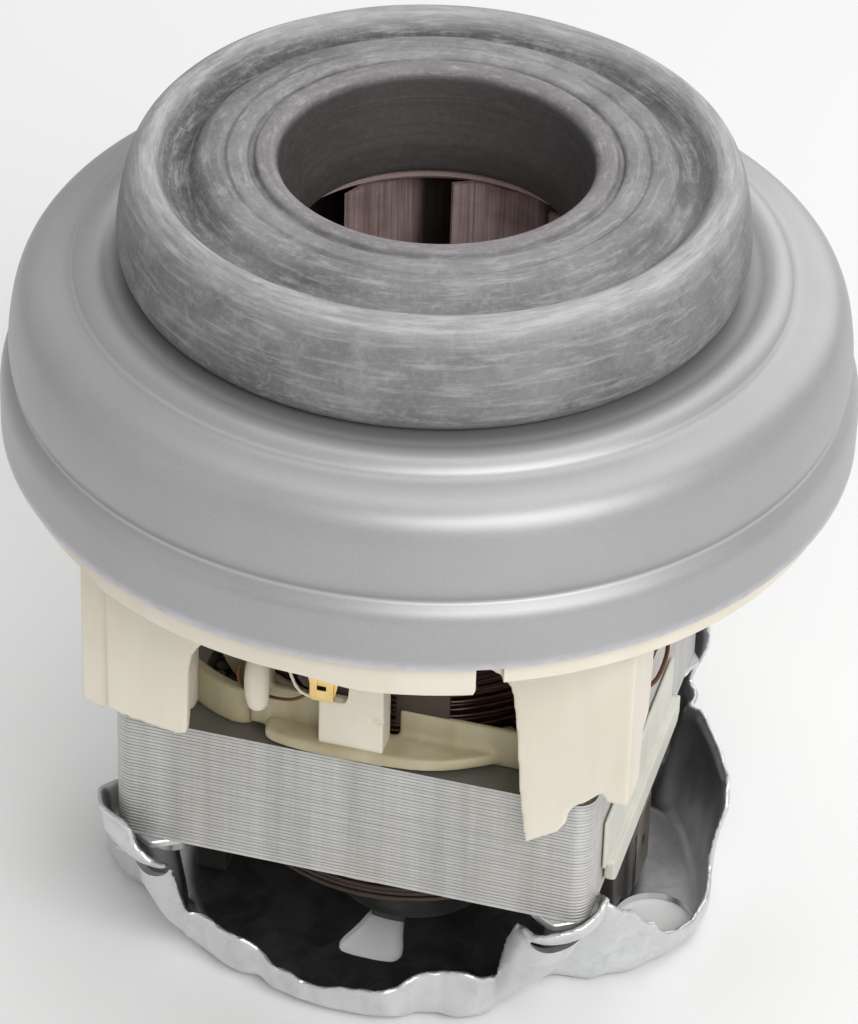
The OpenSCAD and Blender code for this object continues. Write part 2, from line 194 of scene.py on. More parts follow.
def inset(P, d):
    n = len(P)
    out = []
    for i in range(n):
        a, b, c = P[i - 1], P[i], P[(i + 1) % n]
        u = b - a
        w = c - b
        u = u / max(np.linalg.norm(u), 1e-9)
        w = w / max(np.linalg.norm(w), 1e-9)
        nu, nw = np.array([-u[1], u[0]]), np.array([-w[1], w[0]])
        m = nu + nw
        l = np.linalg.norm(m)
        m = m / l if l > 1e-6 else nu
        out.append(b + m * d / max(0.5, float(m @ nu)))
    return out


def xform(verts, M):
    return [tuple(M @ Vector(v)) for v in verts]


def merge(parts):
    V, F = [], []
    for v, f in parts:
        o = len(V)
        V += list(v)
        F += [tuple(i + o for i in q) for q in f]
    return V, F


def boxv(x0, x1, y0, y1, z0, z1, bev=0.0, seg=1):
    """Box with rounded edges, as vertices and faces."""
    if bev <= 0:
        v = [(x, y, z) for z in (z0, z1) for y in (y0, y1) for x in (x0, x1)]
        f = [(0, 2, 3, 1), (4, 5, 7, 6), (0, 1, 5, 4), (2, 6, 7, 3), (0, 4, 6, 2), (1, 3, 7, 5)]
        return v, f
    bm = bmesh.new()
    bmesh.ops.create_cube(bm, size=1.0)
    for v in bm.verts:
        v.co = Vector(((x0 + x1) / 2 + v.co.x * (x1 - x0), (y0 + y1) / 2 + v.co.y * (y1 - y0), (z0 + z1) / 2 + v.co.z * (z1 - z0)))
    bmesh.ops.bevel(bm, geom=list(bm.edges), offset=bev, segments=max(1, seg), affect="EDGES", profile=0.5)
    bm.verts.ensure_lookup_table()
    v = [tuple(q.co) for q in bm.verts]
    f = [tuple(q.index for q in p.verts) for p in bm.faces]
    bm.free()
    return v, f


def tube_data(path, r, sides=10, caps=True, flat=None, closed=False):
    """Round tube along a path. r is one radius or one per point."""
    P = [np.array(p, float) for p in path]
    n = len(P)
    rs = [r] * n if np.isscalar(r) else list(r)
    T = []
    for i in range(n):
        if closed:
            t = P[(i + 1) % n] - P[i - 1]
        else:
            t = P[min(i + 1, n - 1)] - P[max(i - 1, 0)]
        T.append(t / max(np.linalg.norm(t), 1e-9))
    up = np.array([0, 0, 1.0]) if abs(T[0][2]) < 0.9 else np.array([1.0, 0, 0])
    N = np.cross(T[0], up)
    N /= np.linalg.norm(N)
    V, F = [], []
    for i in range(n):
        N = N - T[i] * (N @ T[i])
        N /= np.linalg.norm(N)
        B = np.cross(T[i], N)
        for k in range(sides):
            a = 2 * math.pi * k / sides
            q = P[i] + rs[i] * (math.cos(a) * N + math.sin(a) * B)
            V.append(tuple(q))
    for i in range(n if closed else n - 1):
        j = (i + 1) % n
        for k in range(sides):
            l = (k + 1) % sides
            F.append((i * sides + k, i * sides + l, j * sides + l, j * sides + k))
    if caps and not closed:
        F.append(tuple(range(sides - 1, -1, -1)))
        F.append(tuple(range((n - 1) * sides, n * sides)))
    return V, F


def catmull(pts, per=8):
    P = [np.array(p, float) for p in pts]
    P = [2 * P[0] - P[1]] + P + [2 * P[-1] - P[-2]]
    out = []
    for i in range(1, len(P) - 2):
        for k in range(per):
            t = k / per
            a, b, c, d = P[i - 1], P[i], P[i + 1], P[i + 2]
            out.append(0.5 * ((2 * b) + (-a + c) * t + (2 * a - 5 * b + 4 * c - d) * t * t + (-a + 3 * b - 3 * c + d) * t ** 3))
    out.append(P[-2])
    return out


def mesh_object(name, verts, faces):
    me = bpy.data.meshes.new(name)
    me.from_pydata([(v[0] * MM, v[1] * MM, v[2] * MM) for v in verts], [], [tuple(int(i) for i in f) for f in faces])
    me.validate()
    me.update()
    ob = bpy.data.objects.new(name, me)
    bpy.context.scene.collection.objects.link(ob)
    bm = bmesh.new()
    bm.from_mesh(me)
    bmesh.ops.recalc_face_normals(bm, faces=bm.faces)
    bm.to_mesh(me)
    bm.free()
    return ob


def apply_mods(ob):
    bpy.context.view_layer.update()
    dg = bpy.context.evaluated_depsgraph_get()
    me = bpy.data.meshes.new_from_object(ob.evaluated_get(dg))
    ob.modifiers.clear()
    old = ob.data
    ob.data = me
    bpy.data.meshes.remove(old)


def boolean(ob, cutter, op="DIFFERENCE", solver="EXACT"):
    m = ob.modifiers.new("b", "BOOLEAN")
    m.operation = op
    m.solver = solver
    m.object = cutter
    apply_mods(ob)
    bpy.data.objects.remove(cutter)


# ------------------------------------------------------------ material helpers
class Mat:
    def __init__(self, name):
        self.m = bpy.data.materials.new(name)
        self.m.use_nodes = True
        self.nt = self.m.node_tree
        self.nt.nodes.clear()
        self.out = self.nt.nodes.new("ShaderNodeOutputMaterial")
        self.b = self.nt.nodes.new("ShaderNodeBsdfPrincipled")
        self.nt.links.new(self.b.outputs[0], self.out.inputs[0])
        self.tc = self.nt.nodes.new("ShaderNodeTexCoord")
        self.obj = self.tc.outputs["Object"]

    def n(self, kind, **props):
        node = self.nt.nodes.new("ShaderNode" + kind)
        for k, v in props.items():
            setattr(node, k, v)
        return node

    def link(self, a, b):
        self.nt.links.new(a, b)

    def set(self, **kw):
        for k, v in kw.items():
            self.b.inputs[k.replace("_", " ")].default_value = v
        return self

    def math(self, op, a, b=None, c=None, clamp=False):
        node = self.n("Math", operation=op)
        node.use_clamp = clamp
        for i, x in enumerate((a, b, c)):
            if x is None:
                continue
            if isinstance(x, (int, float)):
                node.inputs[i].default_value = x
            else:
                self.link(x, node.inputs[i])
        return node.outputs[0]

    def xyz(self, src=None):
        s = self.n("SeparateXYZ")
        self.link(src or self.obj, s.inputs[0])
        return s.outputs[0], s.outputs[1], s.outputs[2]

    def comb(self, x, y, z):
        c = self.n("CombineXYZ")
        for i, v in enumerate((x, y, z)):
            if isinstance(v, (int, float)):
                c.inputs[i].default_value = v
            else:
                self.link(v, c.inputs[i])
        return c.outputs[0]

    def polar(self):
        x, y, z = self.xyz()
        r = self.math("SQRT", self.math("ADD", self.math("MULTIPLY", x, x), self.math("MULTIPLY", y, y)))
        a = self.math("ARCTAN2", y, x)
        return r, a, z

    def noise(self, vec=None, scale=50, detail=4, rough=0.5, dist=0.0, dim="3D", w=None):
        t = self.n("TexNoise", noise_dimensions=dim)
        t.inputs["Scale"].default_value = scale
        t.inputs["Detail"].default_value = detail
        t.inputs["Roughness"].default_value = rough
        t.inputs["Distortion"].default_value = dist
        if dim != "1D":
            self.link(vec if vec is not None else self.obj, t.inputs["Vector"])
        if w is not None:
            self.link(w, t.inputs["W"])
        return t.outputs["Fac"]

    def voronoi(self, vec=None, scale=500, feature="F1", rand=1.0):
        t = self.n("TexVoronoi", feature=feature)
        t.inputs["Scale"].default_value = scale
        t.inputs["Randomness"].default_value = rand
        self.link(vec if vec is not None else self.obj, t.inputs["Vector"])
        return t

    def ramp(self, fac, stops, interp="LINEAR"):
        r = self.n("ValToRGB")
        r.color_ramp.interpolation = interp
        el = r.color_ramp.elements
        while len(el) > 1:
            el.remove(el[-1])
        for i, (p, c) in enumerate(stops):
            e = el[0] if i == 0 else el.new(p)
            e.position = p
            e.color = (c, c, c, 1) if isinstance(c, (int, float)) else (*c, 1)
        self.link(fac, r.inputs[0])
        return r.outputs[0]

    def mapr(self, v, a, b, c=0.0, d=1.0, smooth=True):
        m = self.n("MapRange")
        if smooth:
            m.interpolation_type = "SMOOTHSTEP"
        for i, x in enumerate((a, b, c, d)):
            m.inputs[i + 1].default_value = x
        self.link(v, m.inputs[0])
        return m.outputs[0]

    def mix(self, fac, a, b, blend="MIX"):
        m = self.n("Mix", data_type="RGBA", blend_type=blend)
        for idx, x in ((0, fac), (6, a), (7, b)):
            if isinstance(x, (int, float)):
                m.inputs[idx].default_value = x if idx == 0 else (x, x, x, 1)
            elif isinstance(x, (tuple, list)):
                m.inputs[idx].default_value = (*x[:3], 1)
            else:
                self.link(x, m.inputs[idx])
        return m.outputs[2]

    def color(self, sock):
        self.link(sock, self.b.inputs["Base Color"])
        return self

    def rough(self, sock):
        self.link(sock, self.b.inputs["Roughness"])
        return self

    def bump(self, height, dist=0.0002, strength=0.5):
        b = self.n("Bump")
        b.inputs["Strength"].default_value = strength
        b.inputs["Distance"].default_value = dist
        self.link(height, b.inputs["Height"])
        prev = getattr(self, "_bump", None)
        if prev is not None:
            self.link(prev, b.inputs["Normal"])
        self._bump = b.outputs[0]
        self.link(b.outputs[0], self.b.inputs["Normal"])
        return self


def mat_rubber():
    M = Mat("seal_rubber")
    r, a, z = M.polar()
    # smears run round the ring
    vec = M.comb(M.math("MULTIPLY", a, 3.4), M.math("MULTIPLY", r, 720), M.math("MULTIPLY", z, 620))
    smear = M.noise(vec, scale=1.6, detail=9, rough=0.70, dist=0.22)
    fleck = M.noise(M.comb(M.math("MULTIPLY", a, 9.0), M.math("MULTIPLY", r, 500), M.math("MULTIPLY", z, 420)), scale=1.5, detail=6, rough=0.7, dist=0.6)
    cloud = M.noise(scale=38, detail=6, rough=0.65, dist=0.4)
    fine = M.noise(scale=1100, detail=4, rough=0.75)
    patch = M.noise(scale=150, detail=9, rough=0.78, dist=0.45)
    rings = M.noise(dim="1D", w=M.math("MULTIPLY", r, 1600), scale=1.0, detail=3, rough=0.8)
    # dark is the colour of the painted shade in the trough
    dark, mid, chalk = (0.048, 0.048, 0.049), (0.215, 0.215, 0.216), (0.47, 0.47, 0.465)
    base = M.mix(M.ramp(cloud, [(0.36, 0.0), (0.60, 1.0)]), (0.115, 0.115, 0.116), mid)

    def band(lo, hi, soft=0.0006):
        return M.math("MULTIPLY", M.mapr(r, lo - soft, lo + soft, 0.0, 1.0), M.mapr(r, hi - soft, hi + soft, 1.0, 0.0))
    top = M.mapr(z, 0.1325, 0.1360, 0.0, 1.0)
    # chalky crest and light band beside the groove; the trough between them is darkened below as painted shade
    crest = M.math("MULTIPLY", top, band(0.0412, 0.0457, 0.0008))
    light = M.math("MULTIPLY", top, band(0.0281, 0.0312, 0.0004))
    lip = M.math("MULTIPLY", top, band(0.0238, 0.0269, 0.0003))
    trough_shade = M.math("MULTIPLY", top, band(0.0355, 0.0405, 0.0010))
    k = M.ramp(smear, [(0.36, 0.30), (0.66, 1.0)])
    base = M.mix(M.math("MULTIPLY", M.math("MULTIPLY", crest, k), 0.80), base, chalk)
    base = M.mix(M.math("MULTIPLY", M.math("MULTIPLY", light, M.ramp(patch, [(0.35, 0.3), (0.6, 1.0)])), 0.62), base, (0.25, 0.25, 0.25))
    base = M.mix(M.math("MULTIPLY", lip, 0.75), base, (0.20, 0.180, 0.187))
    # painted shade in the trough: darkest at the back left, much paler in front
    backleft_shade = M.math("ADD", M.math("MULTIPLY", M.math("SUBTRACT", M.math("MULTIPLY", M.xyz()[1], 0.8), M.math("MULTIPLY", M.xyz()[0], 0.6)), 11.0), 0.55)
    backleft_shade = M.mapr(backleft_shade, 0.15, 0.95, 0.12, 1.0)
    base = M.mix(M.math("MULTIPLY", M.math("MULTIPLY", trough_shade, backleft_shade), M.ramp(smear, [(0.42, 0.95), (0.66, 0.35)])), base, dark)
    base = M.mix(M.math("MULTIPLY", M.ramp(smear, [(0.50, 0.0), (0.70, 1.0)]), 0.5), base, chalk)
    base = M.mix(M.math("MULTIPLY", M.ramp(patch, [(0.52, 0.0), (0.70, 1.0)]), 0.28), base, chalk)
    # pale scratches near the foot of the flank
    foot = M.math("MULTIPLY", M.mapr(z, 0.1215, 0.1225, 0.0, 1.0), M.mapr(z, 0.1243, 0.1262, 1.0, 0.0))
    foot = M.math("MULTIPLY", foot, M.mapr(r, 0.0440, 0.0455, 0.0, 1.0))
    base = M.mix(M.math("MULTIPLY", foot, M.ramp(fleck, [(0.54, 0.0), (0.72, 0.8)])), base, (0.40, 0.40, 0.395))
    # bore wall: dark, smooth, slightly warm
    inner = M.mapr(r, 0.0234, 0.0240, 1.0, 0.0)
    base = M.mix(M.math("MULTIPLY", inner, 0.93), base, (0.040, 0.034, 0.034))
    base = M.mix(M.math("MULTIPLY", M.ramp(fine, [(0.48, 0.0), (0.72, 1.0)]), M.mapr(r, 0.0234, 0.0240, 0.03, 0.18)), base, chalk)
    M.color(base)
    M.rough(M.ramp(smear, [(0.3, 0.46), (0.75, 0.8)]))
    M.bump(rings, 0.0002, 0.4)
    M.bump(patch, 0.0004, 0.35)
    M.bump(fine, 0.00012, 0.4)
    M.set(Specular_IOR_Level=0.34)
    return M.m


def mat_cover():
    M = Mat("cover_sheet")
    r, a, z = M.polar()
    grain = M.noise(scale=2600, detail=3, rough=0.8)
    cloud = M.noise(scale=26, detail=4, rough=0.5)
    brush = M.noise(M.comb(M.math("MULTIPLY", a, 3.0), M.math("MULTIPLY", r, 900), M.math("MULTIPLY", z, 900)), scale=1.0, detail=3)
    base = M.mix(M.ramp(cloud, [(0.3, 0.0), (0.7, 1.0)]), (0.345, 0.346, 0.349), (0.395, 0.396, 0.399))
    base = M.mix(M.math("MULTIPLY", M.ramp(grain, [(0.5, 0.0), (0.8, 1.0)]), 0.30), base, (0.55, 0.55, 0.555))
    # painted highlight, slightly violet, on the rolled rim at the foot of the skirt
    edge = M.mapr(z, 0.0925, 0.0948, 1.0, 0.0)
    rim_highlight = M.math("MULTIPLY", edge, M.ramp(M.noise(scale=300, detail=5, rough=0.7), [(0.3, 0.35), (0.6, 1.0)]))
    base = M.mix(M.math("MULTIPLY", rim_highlight, 0.8), base, (0.66, 0.62, 0.68))
    # painted highlight along the crease and along the fold under the seal
    for z0, w, k in ((0.1036, 0.00035, 0.30), (0.1197, 0.00035, 0.22)):
        d = M.math("ABSOLUTE", M.math("SUBTRACT", z, z0))
        crease_highlight = M.mapr(d, 0.0, w, 1.0, 0.0)
        base = M.mix(M.math("MULTIPLY", crease_highlight, k), base, (0.72, 0.72, 0.73))
    M.color(base)
    # painted shade in the fold under the seal
    shade = M.math("MULTIPLY", M.mapr(r, 0.0470, 0.0492, 1.0, 0.0), 0.45)
    base = M.mix(shade, base, (0.12, 0.12, 0.123))
    M.color(base)
    M.set(Metallic=0.42, Specular_IOR_Level=0.45)
    M.rough(M.math("ADD", M.math("MULTIPLY", grain, 0.12), 0.37))
    M.bump(grain, 0.00006, 0.25)
    M.bump(brush, 0.00003, 0.12)
    return M.m


def mat_ivory(name="ivory_plastic", tint=(0.735, 0.685, 0.58), tint2=(0.665, 0.61, 0.50)):
    M = Mat(name)
    x, y, z = M.xyz()
    cloud = M.noise(scale=35, detail=3, rough=0.5)
    fine = M.noise(scale=1400, detail=3, rough=0.6)
    flow = M.noise(M.comb(M.math("MULTIPLY", x, 160), M.math("MULTIPLY", y, 160), M.math("MULTIPLY", z, 25)), scale=1.0, detail=4)
    base = M.mix(M.ramp(cloud, [(0.3, 0.0), (0.75, 1.0)]), tint, tint2)
    base = M.mix(M.math("MULTIPLY", M.ramp(flow, [(0.45, 0.0), (0.8, 1.0)]), 0.25), base, (0.88, 0.85, 0.77))
    M.color(base)
    M.set(Specular_IOR_Level=0.45, Subsurface_Weight=0.12, Subsurface_Scale=0.0018)
    M.b.inputs["Subsurface Radius"].default_value = (1.0, 0.75, 0.45)
    M.rough(M.math("ADD", M.math("MULTIPLY", fine, 0.14), 0.36))
    M.bump(fine, 0.00005, 0.2)
    M.bump(cloud, 0.0006, 0.06)
    return M.m


def mat_bracket():
    M = Mat("bracket_sheet")
    x, y, z = M.xyz()
    cloud = M.noise(scale=75, detail=5, rough=0.6, dist=0.6)
    spang = M.voronoi(M.comb(M.math("MULTIPLY", x, 1.0), M.math("MULTIPLY", y, 1.0), M.math("MULTIPLY", z, 0.6)), scale=420)
    fine = M.noise(scale=1500, detail=4, rough=0.7)
    draw = M.noise(M.comb(M.math("MULTIPLY", x, 320), M.math("MULTIPLY", y, 320), M.math("MULTIPLY", z, 40)), scale=1.0, detail=4)
    base = M.mix(M.ramp(cloud, [(0.3, 0.0), (0.7, 1.0)]), (0.62, 0.625, 0.63), (0.76, 0.765, 0.77))
    base = M.mix(M.math("MULTIPLY", M.ramp(spang.outputs["Color"], [(0.2, 0.0), (0.9, 1.0)]), 0.18), base, (0.74, 0.745, 0.75))
    base = M.mix(M.math("MULTIPLY", M.ramp(draw, [(0.4, 0.0), (0.75, 1.0)]), 0.25), base, (0.42, 0.42, 0.43))
    # painted shade inside the pressing: walls that face the axis and the low floor are darkened, rims and outside stay
    # bright
    nx, ny, nz = M.xyz(M.tc.outputs["Normal"])
    r, a, zz = M.polar()
    rad = M.math("DIVIDE", M.math("ADD", M.math("MULTIPLY", x, nx), M.math("MULTIPLY", y, ny)), r)
    wall = M.mapr(rad, -0.50, -0.12, 1.0, 0.0)
    flat = M.math("MULTIPLY", M.mapr(nz, 0.3, 0.65, 0.0, 1.0), M.mapr(zz, 0.0040, 0.0060, 1.0, 0.0))
    flat = M.math("MULTIPLY", flat, M.mapr(r, 0.0360, 0.0385, 1.0, 0.0))
    inner = M.math("MAXIMUM", wall, flat)
    patchy = M.ramp(M.noise(scale=120, detail=6, rough=0.7, dist=0.8), [(0.35, 0.86), (0.70, 0.98)])
    # in the side lobes the shade fades towards the floor
    lobe = M.mapr(r, 0.0430, 0.0455, 0.0, 1.0)
    fade = M.mapr(zz, 0.0040, 0.0200, 0.90, 0.30)
    shadow = M.math("MULTIPLY", M.math("MULTIPLY", inner, patchy), M.math("SUBTRACT", 1.0, M.math("MULTIPLY", lobe, fade)))
    base = M.mix(shadow, base, (0.030, 0.030, 0.029))
    # grey blotches of the zinc outside
    blot = M.noise(scale=230, detail=6, rough=0.65, dist=1.4)
    base = M.mix(M.math("MULTIPLY", M.ramp(blot, [(0.50, 0.0), (0.74, 0.30)]), M.math("SUBTRACT", 1.0, inner)), base, (0.36, 0.36, 0.355))
    M.color(base)
    M.set(Metallic=0.75)
    M.rough(M.math("ADD", M.math("MULTIPLY", cloud, 0.22), 0.26))
    M.bump(cloud, 0.0011, 0.28)
    M.bump(draw, 0.0003, 0.14)
    M.bump(fine, 0.00005, 0.18)
    return M.m


def mat_lamination():
    M = Mat("lamination_steel")
    x, y, z = M.xyz()
    # faint upright streaks left by stamping, and warm tints
    side = M.math("ADD", M.math("MULTIPLY", x, 1.0), M.math("MULTIPLY", y, 1.0))
    streak = M.noise(M.comb(M.math("MULTIPLY", x, 260), M.math("MULTIPLY", y, 260), M.math("MULTIPLY", z, 12)), scale=1.0, detail=5, rough=0.65)
    layer = M.noise(dim="1D", w=M.math("MULTIPLY", z, 1300), scale=1.0, detail=1)
    warm = M.noise(M.comb(M.math("MULTIPLY", x, 55), M.math("MULTIPLY", y, 55), M.math("MULTIPLY", z, 55)), scale=1.0, detail=4)
    fine = M.noise(scale=3000, detail=3, rough=0.7)
    base = M.mix(M.ramp(streak, [(0.34, 0.0), (0.64, 1.0)]), (0.50, 0.495, 0.48), (0.64, 0.635, 0.62))
    base = M.mix(M.math("MULTIPLY", M.ramp(warm, [(0.45, 0.0), (0.7, 1.0)]), 0.3), base, (0.56, 0.50, 0.43))
    base = M.mix(M.math("MULTIPLY", M.ramp(layer, [(0.35, 1.0), (0.6, 0.0)]), 0.2), base, (0.30, 0.30, 0.295))
    nx, ny, nz = M.xyz(M.tc.outputs["Normal"])
    # painted shade: faces of the stack that point up are darkened
    base = M.mix(M.mapr(nz, 0.5, 0.85, 0.0, 0.84), base, (0.115, 0.110, 0.090))
    M.color(base)
    M.set(Metallic=0.6)
    M.rough(M.math("ADD", M.math("MULTIPLY", streak, 0.2), 0.42))
    M.bump(streak, 0.0002, 0.2)
    M.bump(fine, 0.00005, 0.25)
    return M.m


def mat_metal(name, c1, c2, rough=0.3, metallic=1.0, scale=120, brushed=None, bump=0.15):
    M = Mat(name)
    x, y, z = M.xyz()
    cloud = M.noise(scale=scale, detail=5, rough=0.6)
    fine = M.noise(scale=2200, detail=3, rough=0.7)
    base = M.mix(M.ramp(cloud, [(0.3, 0.0), (0.7, 1.0)]), c1, c2)
    if brushed == "round":
        r, a, zz = M.polar()
        lines = M.noise(M.comb(M.math("MULTIPLY", a, 1.5), M.math("MULTIPLY", r, 3000), M.math("MULTIPLY", zz, 3000)), scale=1.0, detail=3)
        base = M.mix(M.math("MULTIPLY", M.ramp(lines, [(0.4, 0.0), (0.7, 1.0)]), 0.3), base, tuple(0.7 * q for q in c1))
        M.bump(lines, 0.00006, 0.3)
    M.color(base)
    M.set(Metallic=metallic)
    M.rough(M.math("ADD", M.math("MULTIPLY", cloud, 0.16), rough))
    M.bump(fine, 0.00005, bump)
    return M.m


def mat_blade():
    M = Mat("fan_blade")
    r, a, z = M.polar()
    x, y, zz = M.xyz()
    cloud = M.noise(scale=70, detail=5, rough=0.6)
    streak = M.noise(M.comb(M.math("MULTIPLY", a, 60), M.math("MULTIPLY", r, 900), M.math("MULTIPLY", z, 30)), scale=1.0, detail=4, rough=0.65)
    base = M.mix(M.ramp(streak, [(0.36, 0.0), (0.66, 1.0)]), (0.34, 0.25, 0.24), (0.70, 0.55, 0.53))
    base = M.mix(M.ramp(cloud, [(0.40, 0.0), (0.66, 0.6)]), base, (0.10, 0.062, 0.058))
    # painted shade deeper in the channels, darker with the radius
    base = M.mix(M.mapr(r, 0.0282, 0.0300, 0.0, 0.94), base, (0.012, 0.008, 0.008))
    M.color(base)
    M.set(Metallic=0.35)
    M.rough(M.math("ADD", M.math("MULTIPLY", cloud, 0.2), 0.34))
    M.bump(streak, 0.0002, 0.3)
    return M.m


def mat_wire():
    M = Mat("enamelled_wire")
    cloud = M.noise(scale=90, detail=4, rough=0.6)
    fine = M.noise(scale=1800, detail=3, rough=0.6)
    base = M.mix(M.ramp(cloud, [(0.3, 0.0), (0.7, 1.0)]), (0.030, 0.012, 0.009), (0.085, 0.030, 0.016))
    M.color(base)
    M.set(Metallic=0.7, Coat_Weight=0.6, Coat_Roughness=0.12)
    M.rough(M.math("ADD", M.math("MULTIPLY", cloud, 0.2), 0.22))
    M.bump(fine, 0.00004, 0.2)
    return M.m


def mat_plain(name, c1, c2, rough=0.5, scale=90, spec=0.4, fine_bump=0.25):
    M = Mat(name)
    cloud = M.noise(scale=scale, detail=5, rough=0.6)
    fine = M.noise(scale=1500, detail=4, rough=0.7)
    base = M.mix(M.ramp(cloud, [(0.3, 0.0), (0.7, 1.0)]), c1, c2)
    M.color(base)
    M.set(Specular_IOR_Level=spec)
    M.rough(M.math("ADD", M.math("MULTIPLY", fine, 0.15), rough - 0.07))
    M.bump(fine, 0.00008, fine_bump)
    return M.m


RUBBER = mat_rubber()
COVER = mat_cover()
IVORY = mat_ivory()
# darker, yellower copy of the ivory for insulator and arm parts that lie in shade: painted shade
IVORY_SHADED = mat_ivory("ivory_shaded", (0.44, 0.385, 0.25), (0.34, 0.29, 0.175))
IVORY_RAIL = mat_ivory("ivory_rail", (0.60, 0.59, 0.52), (0.52, 0.51, 0.44))
BRACKET = mat_bracket()
BRACKET_IN = mat_plain("bracket_shade", (0.035, 0.035, 0.034), (0.085, 0.085, 0.083), 0.38, spec=0.7)
LAM = mat_lamination()
WIRE = mat_wire()
BRASS = mat_metal("brass_strip", (0.80, 0.58, 0.22), (0.90, 0.70, 0.32), 0.16, scale=300)
SCREW = mat_metal("screw_steel", (0.42, 0.42, 0.42), (0.56, 0.56, 0.55), 0.3)
SHAFT = mat_metal("shaft_steel", (0.55, 0.55, 0.55), (0.66, 0.66, 0.66), 0.2, brushed="round")
BEARING = mat_metal("bearing_steel", (0.62, 0.62, 0.63), (0.72, 0.72, 0.73), 0.14, brushed="round")
COMM = mat_metal("commutator_copper", (0.62, 0.30, 0.17), (0.74, 0.42, 0.26), 0.26, brushed="round")
FAN = mat_metal("fan_metal", (0.56, 0.42, 0.40), (0.74, 0.60, 0.57), 0.42, metallic=0.25, scale=60, bump=0.25)
BLADE = mat_blade()
SPRING = mat_metal("spring_steel", (0.5, 0.5, 0.5), (0.62, 0.62, 0.62), 0.25)
DIFF = mat_plain("diffuser_plastic", (0.028, 0.027, 0.026), (0.05, 0.048, 0.046), 0.5)
HUB = mat_plain("hub_resin", (0.085, 0.04, 0.025), (0.13, 0.065, 0.04), 0.45)
BOARD = mat_plain("insulation_board", (0.46, 0.34, 0.18), (0.58, 0.45, 0.26), 0.6)
CARBON = mat_plain("carbon", (0.030, 0.030, 0.032), (0.055, 0.055, 0.058), 0.45)
LEAD = mat_plain("lead_sleeve", (0.085, 0.027, 0.006), (0.15, 0.050, 0.012), 0.34, spec=0.3)
HOLDER = mat_plain("holder_resin", (0.035, 0.033, 0.030), (0.06, 0.056, 0.05), 0.5)
CAP = mat_metal("tube_metal", (0.16, 0.15, 0.13), (0.26, 0.24, 0.20), 0.4)
# dark winding colour; the same material also serves as painted shade for the lower end turns and for the dark sheet
# between the terminal block and the coil
DARKIN = mat_plain("coil_dark_and_shade", (0.022, 0.016, 0.012), (0.06, 0.035, 0.022), 0.4)

SLOT_MAT = {
    "seal_rubber": RUBBER, "cover_sheet": COVER, "diffuser_plastic": DIFF, "ivory_plastic": IVORY,
    "bracket_sheet": BRACKET, "lamination_steel": LAM, "enamelled_wire": WIRE, "brass": BRASS,
    "lead_sleeve": LEAD, "screw_steel": SCREW, "bearing_steel": BEARING, "shaft_steel": SHAFT,
    "insulation_board": BOARD, "commutator_copper": COMM, "hub_resin": HUB, "fan_metal": FAN,
    "carbon": CARBON, "spring_steel": SPRING,
}
for s in frame["record"]["subparts"]:
    o = NODES[s["node"]]
    o.data.materials.clear()
    o.data.materials.append(SLOT_MAT[s["material_slot"]])


# ------------------------------------------------------------ camera
def camera():
    az, el, roll = math.radians(14.8), math.radians(36.28), math.radians(1.82)
    f, dist = 4850.0, 0.7565
    target = Vector((0.51 * math.cos(az), 0.51 * math.sin(az), 73.06)) * MM
    back = Vector((math.sin(az) * math.cos(el), -math.cos(az) * math.cos(el), math.sin(el)))
    right = Vector((math.cos(az), math.sin(az), 0.0))
    up = back.cross(right)
    r2 = right * math.cos(roll) + up * math.sin(roll)
    u2 = up * math.cos(roll) - right * math.sin(roll)
    cam = bpy.data.cameras.new("camera")
    ob = bpy.data.objects.new("camera", cam)
    bpy.context.scene.collection.objects.link(ob)
    cam.sensor_width = 36.0
    cam.sensor_fit = "AUTO"
    cam.lens = f / 1024.0 * 36.0
    cam.clip_start = 0.01
    cam.clip_end = 20
    M = Matrix((r2, u2, back)).transposed().to_4x4()
    M.translation = target + back * dist
    ob.matrix_world = M
    bpy.context.scene.camera = ob
    return ob, target, back, right, up


CAM, TARGET, BACK, RIGHT, UP = camera()


# ------------------------------------------------------------ floor and light
def area(name, loc, size, power, color=(1, 1, 1), aim=(0, 0, 0.07), size_y=None):
    li = bpy.data.lights.new(name, "AREA")
    li.energy = power
    li.color = color
    li.size = size
    if size_y:
        li.shape = "RECTANGLE"
        li.size_y = size_y
    ob = bpy.data.objects.new(name, li)
    bpy.context.scene.collection.objects.link(ob)
    d = Vector(aim) - Vector(loc)
    ob.matrix_world = Matrix.Translation(Vector(loc)) @ d.to_track_quat("-Z", "Y").to_matrix().to_4x4()
    return ob


